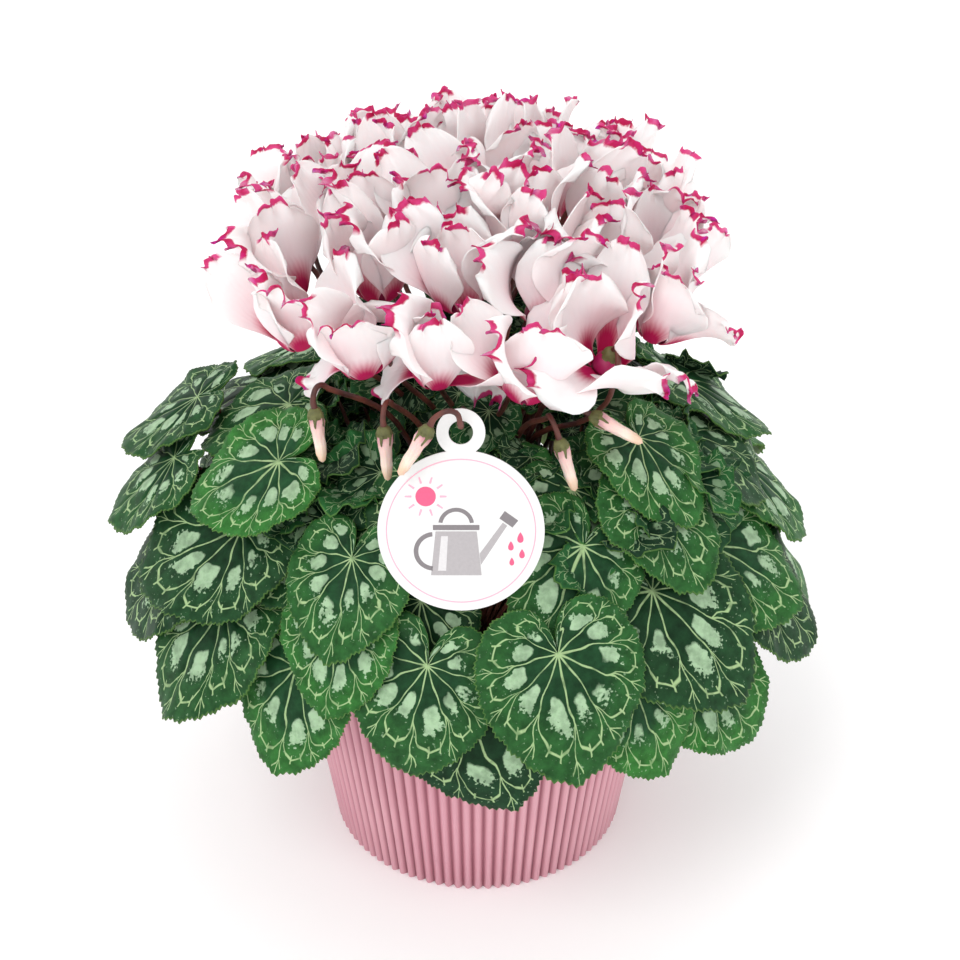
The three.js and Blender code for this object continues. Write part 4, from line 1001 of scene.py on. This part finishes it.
# Stems: soft flesh, reddish brown in streaks of 1 cm. Calyces: dry olive-brown sepals.
stem_skin = mottled("fleshy reddish-brown stem", 90.0, 3.0, ((0.35, "#3F1B18"), (0.65, "#703A2E")), 0.5)
calyx_skin = mottled("olive-brown calyx", 350.0, 3.0, ((0, "#3A3A1E"), (1, "#7E8048")), 0.6)
finish_piece("flower_stems_and_calyces", stem_bm, [stem_skin, calyx_skin], "flower_stems")

# ---------------------------------------------------------------- buds
# Closed buds: petals furled in a spiral round one another to a point, white flushed with pink and
# deeper at the calyx.
BUD_LENGTH = 24
BUD_PROFILE = [
    (0.01, 0.5), (2.5, 0.9), (3.3, 2.6), (3.3, 5), (2.8, 8), (2.5, 12), (2.4, 16), (2.2, 19.5), (1.5, 22.6),
    (0.01, BUD_LENGTH),
]
# Bud petals: satin, with the colours from calyx to tip, which run into one another in patches of 5 mm.
bud_skin, place = new_material("furled bud petals")
pattern = add(bud_skin, "SeparateXYZ", (add(bud_skin, "UVMap", uv_map="pattern"),))
cloud = add(bud_skin, "TexNoise", {"Vector": place, "Scale": 220.0, "Detail": 3.0})
way = add(bud_skin, "MULTIPLY_ADD", (cloud, 0.3, pattern.outputs["Y"]))
BUD_COLOURS = ((0.15, "#A9436B"), (0.42, "#EBC3BE"), (0.8, "#F3DECF"), (1.0, "#EAC9AE"))
tint = add(bud_skin, "ValToRGB", (way,), BUD_COLOURS)
give_surface(bud_skin, {
    "Base Color": tint, "Roughness": 0.5, "Subsurface Weight": 0.2, "Subsurface Scale": 0.002,
})


def furled(angle, radius, z):
    """Petals wound round one another: a saw-toothed section that turns as it rises."""
    turn = (angle - 0.13 * z) * PETALS / (2 * math.pi)
    return radius * (0.86 + 0.24 * (turn - math.floor(turn))), z


for index, (calyx, pointing) in enumerate(buds):
    bm = bmesh.new()
    turn = pointing.to_track_quat("Z", "Y").to_matrix().to_4x4()
    turned(bm, BUD_PROFILE, 50, relief=furled, placing=Matrix.Scale(MM, 4) @ Matrix.Translation(calyx) @ turn)
    layer = bm.loops.layers.uv.new("pattern")
    for face in bm.faces:
        for loop in face.loops:
            way = (loop.vert.co / MM - calyx).dot(pointing) / BUD_LENGTH
            loop[layer].uv = (0.5, way)
    finish_piece(f"furled_bud_{index + 1:02d}", bm, [bud_skin], f"bud_{index + 1:02d}")

# ---------------------------------------------------------------- tag
# A round hang tag die-cut from coated white card, with a small ear and a hole. It is printed with
# a plain plant-care drawing: a watering can, its drops and a sun, in greys and pinks.
TAG_EAR_RADIUS = 10
TAG_NECK = 0.72  # how far the ear and the disc run into one another
PRINT_LEVEL = 0.04
PRINT_THICKNESS = 0.05
GREY, DARK_GREY, PALE_GREY, PINK, PALE_PINK = range(1, 6)  # the inks' places among the materials


def arc(x, y, radius, start=0.0, sweep=360.0, steps=48):
    """Points from `start` degrees through `sweep` degrees of a circle, both ends included."""
    angles = [math.radians(start + sweep * step / steps) for step in range(steps + 1)]
    return [(x + radius * math.cos(angle), y + radius * math.sin(angle)) for angle in angles]


def raise_faces(faces, height):
    """Extrudes flat faces of the tag upwards; the new faces keep their ink."""
    grown = bmesh.ops.extrude_face_region(tag_bm, geom=faces)["geom"]
    verts = [part for part in grown if isinstance(part, bmesh.types.BMVert)]
    bmesh.ops.translate(tag_bm, vec=(0, 0, height), verts=verts)


tag_bm = bmesh.new()
join = math.degrees(math.asin(TAG_EAR_RADIUS / TAG_EAR_DISTANCE)) * TAG_NECK
outline = arc(0, 0, TAG_RADIUS, 90 + join, 360 - 2 * join, 120)
outline += arc(0, TAG_EAR_DISTANCE, TAG_EAR_RADIUS, -42, 264, 40)
rim = arc(0, TAG_EAR_DISTANCE, TAG_HOLE_RADIUS)[:-1]
edges = []
for points in (outline, rim):
    loop = [tag_bm.verts.new((x, y, -TAG_THICKNESS / 2)) for x, y in points]
    edges += [tag_bm.edges.new(pair) for pair in zip(loop, loop[1:] + loop[:1])]
bmesh.ops.triangle_fill(tag_bm, use_beauty=True, edges=edges)
raise_faces(tag_bm.faces[:], TAG_THICKNESS)
bmesh.ops.recalc_face_normals(tag_bm, faces=tag_bm.faces[:])


def print_shape(points, colour, level=PRINT_LEVEL):
    """A flat printed patch on the front of the tag, proud of the card by `level`."""
    face = tag_bm.faces.new([tag_bm.verts.new((x, y, TAG_THICKNESS / 2 + level)) for x, y in points])
    face.material_index = colour
    raise_faces([face], PRINT_THICKNESS)


def print_band(x, y, radius, width, start, sweep, colour, steps=19):
    """A printed arc of a given width."""
    inner = arc(x, y, radius - width, start, sweep, steps)
    outer = arc(x, y, radius, start, sweep, steps)
    for k in range(steps):
        print_shape([inner[k], outer[k], outer[k + 1], inner[k + 1]], colour)


# Rim line, then a watering can, its drops and the sun with its rays.
print_band(0, 0, 31, 0.45, 0, 360, PALE_PINK, 96)
print_shape([(-12.5, -19), (8.5, -19), (6.5, 0), (-10.5, 0)], GREY)
print_shape([(-9.6, -17), (-6.2, -17), (-5.4, -2), (-8.2, -2)], PALE_GREY, 2 * PRINT_LEVEL)
print_shape([(-11.6, 0.6), (7.6, 0.6), (7.6, 2.8), (-11.6, 2.8)], DARK_GREY)
print_shape([(8.2, -14.5), (7.7, -9.6), (17.2, 3.8), (19, 2.5)], GREY)
print_shape([(15.8, 5.6), (21.2, 1.7), (23.6, 4.7), (18.0, 8.8)], DARK_GREY)
print_band(-11.2, -8.6, 8.4, 1.9, 95, 171, DARK_GREY)
print_band(-2, 2.8, 7.4, 1.7, 8, 163.4, DARK_GREY)
for x, y, size in ((24.5, -2.6, 1.7), (20.6, -6.2, 1.5), (25.2, -9.6, 1.5), (21, -13, 1.3)):
    belly = arc(0, 0, 1, 90, steps=32)[:-1]
    print_shape([(x + size * u * math.sqrt((1 - v) / 2), y + 1.35 * size * v) for u, v in belly], PINK)
SUN = (-14.5, 15)
RAYS = 10
print_shape(arc(*SUN, 4.2, steps=36)[:-1], PINK)
for ray in range(RAYS):
    turn = Matrix.Rotation(2 * math.pi * ray / RAYS, 2)
    corners = [turn @ Vector(corner) for corner in ((5.8, -0.45), (8.6, -0.3), (8.6, 0.3), (5.8, 0.45))]
    print_shape([Vector(SUN) + corner for corner in corners], PALE_PINK)
bmesh.ops.transform(tag_bm, matrix=Matrix.Scale(MM, 4) @ tag_matrix, verts=tag_bm.verts[:])

# Coated card: smooth, faintly cloudy, with a satin gloss. Inks: a dot screen of 1.1 mm, drawn coarser
# than the real one so that it shows.
INKS = [
    ("grey ink", "#A9A4A6", "#B4AFB1"), ("dark grey ink", "#7C7679", "#847E81"),
    ("pale grey ink", "#D2CFD0", "#DFDCDD"), ("pink ink", "#D9587F", "#E75E87"),
    ("pale pink ink", "#EDA6BB", "#FCB1C7"),
]
tag_materials = [mottled("coated white card", 700.0, 2.0, ((0, "#E2E2E1"), (1, "#EAEAE9")), 0.35)]
tag_materials += [mottled(name, 900.0, 1.0, ((0, ink), (1, paler)), 0.4) for name, ink, paler in INKS]
tag_piece = finish_piece("hang_tag", tag_bm, tag_materials, "tag")
tag_piece.data.polygons.foreach_set("use_smooth", [False] * len(tag_piece.data.polygons))
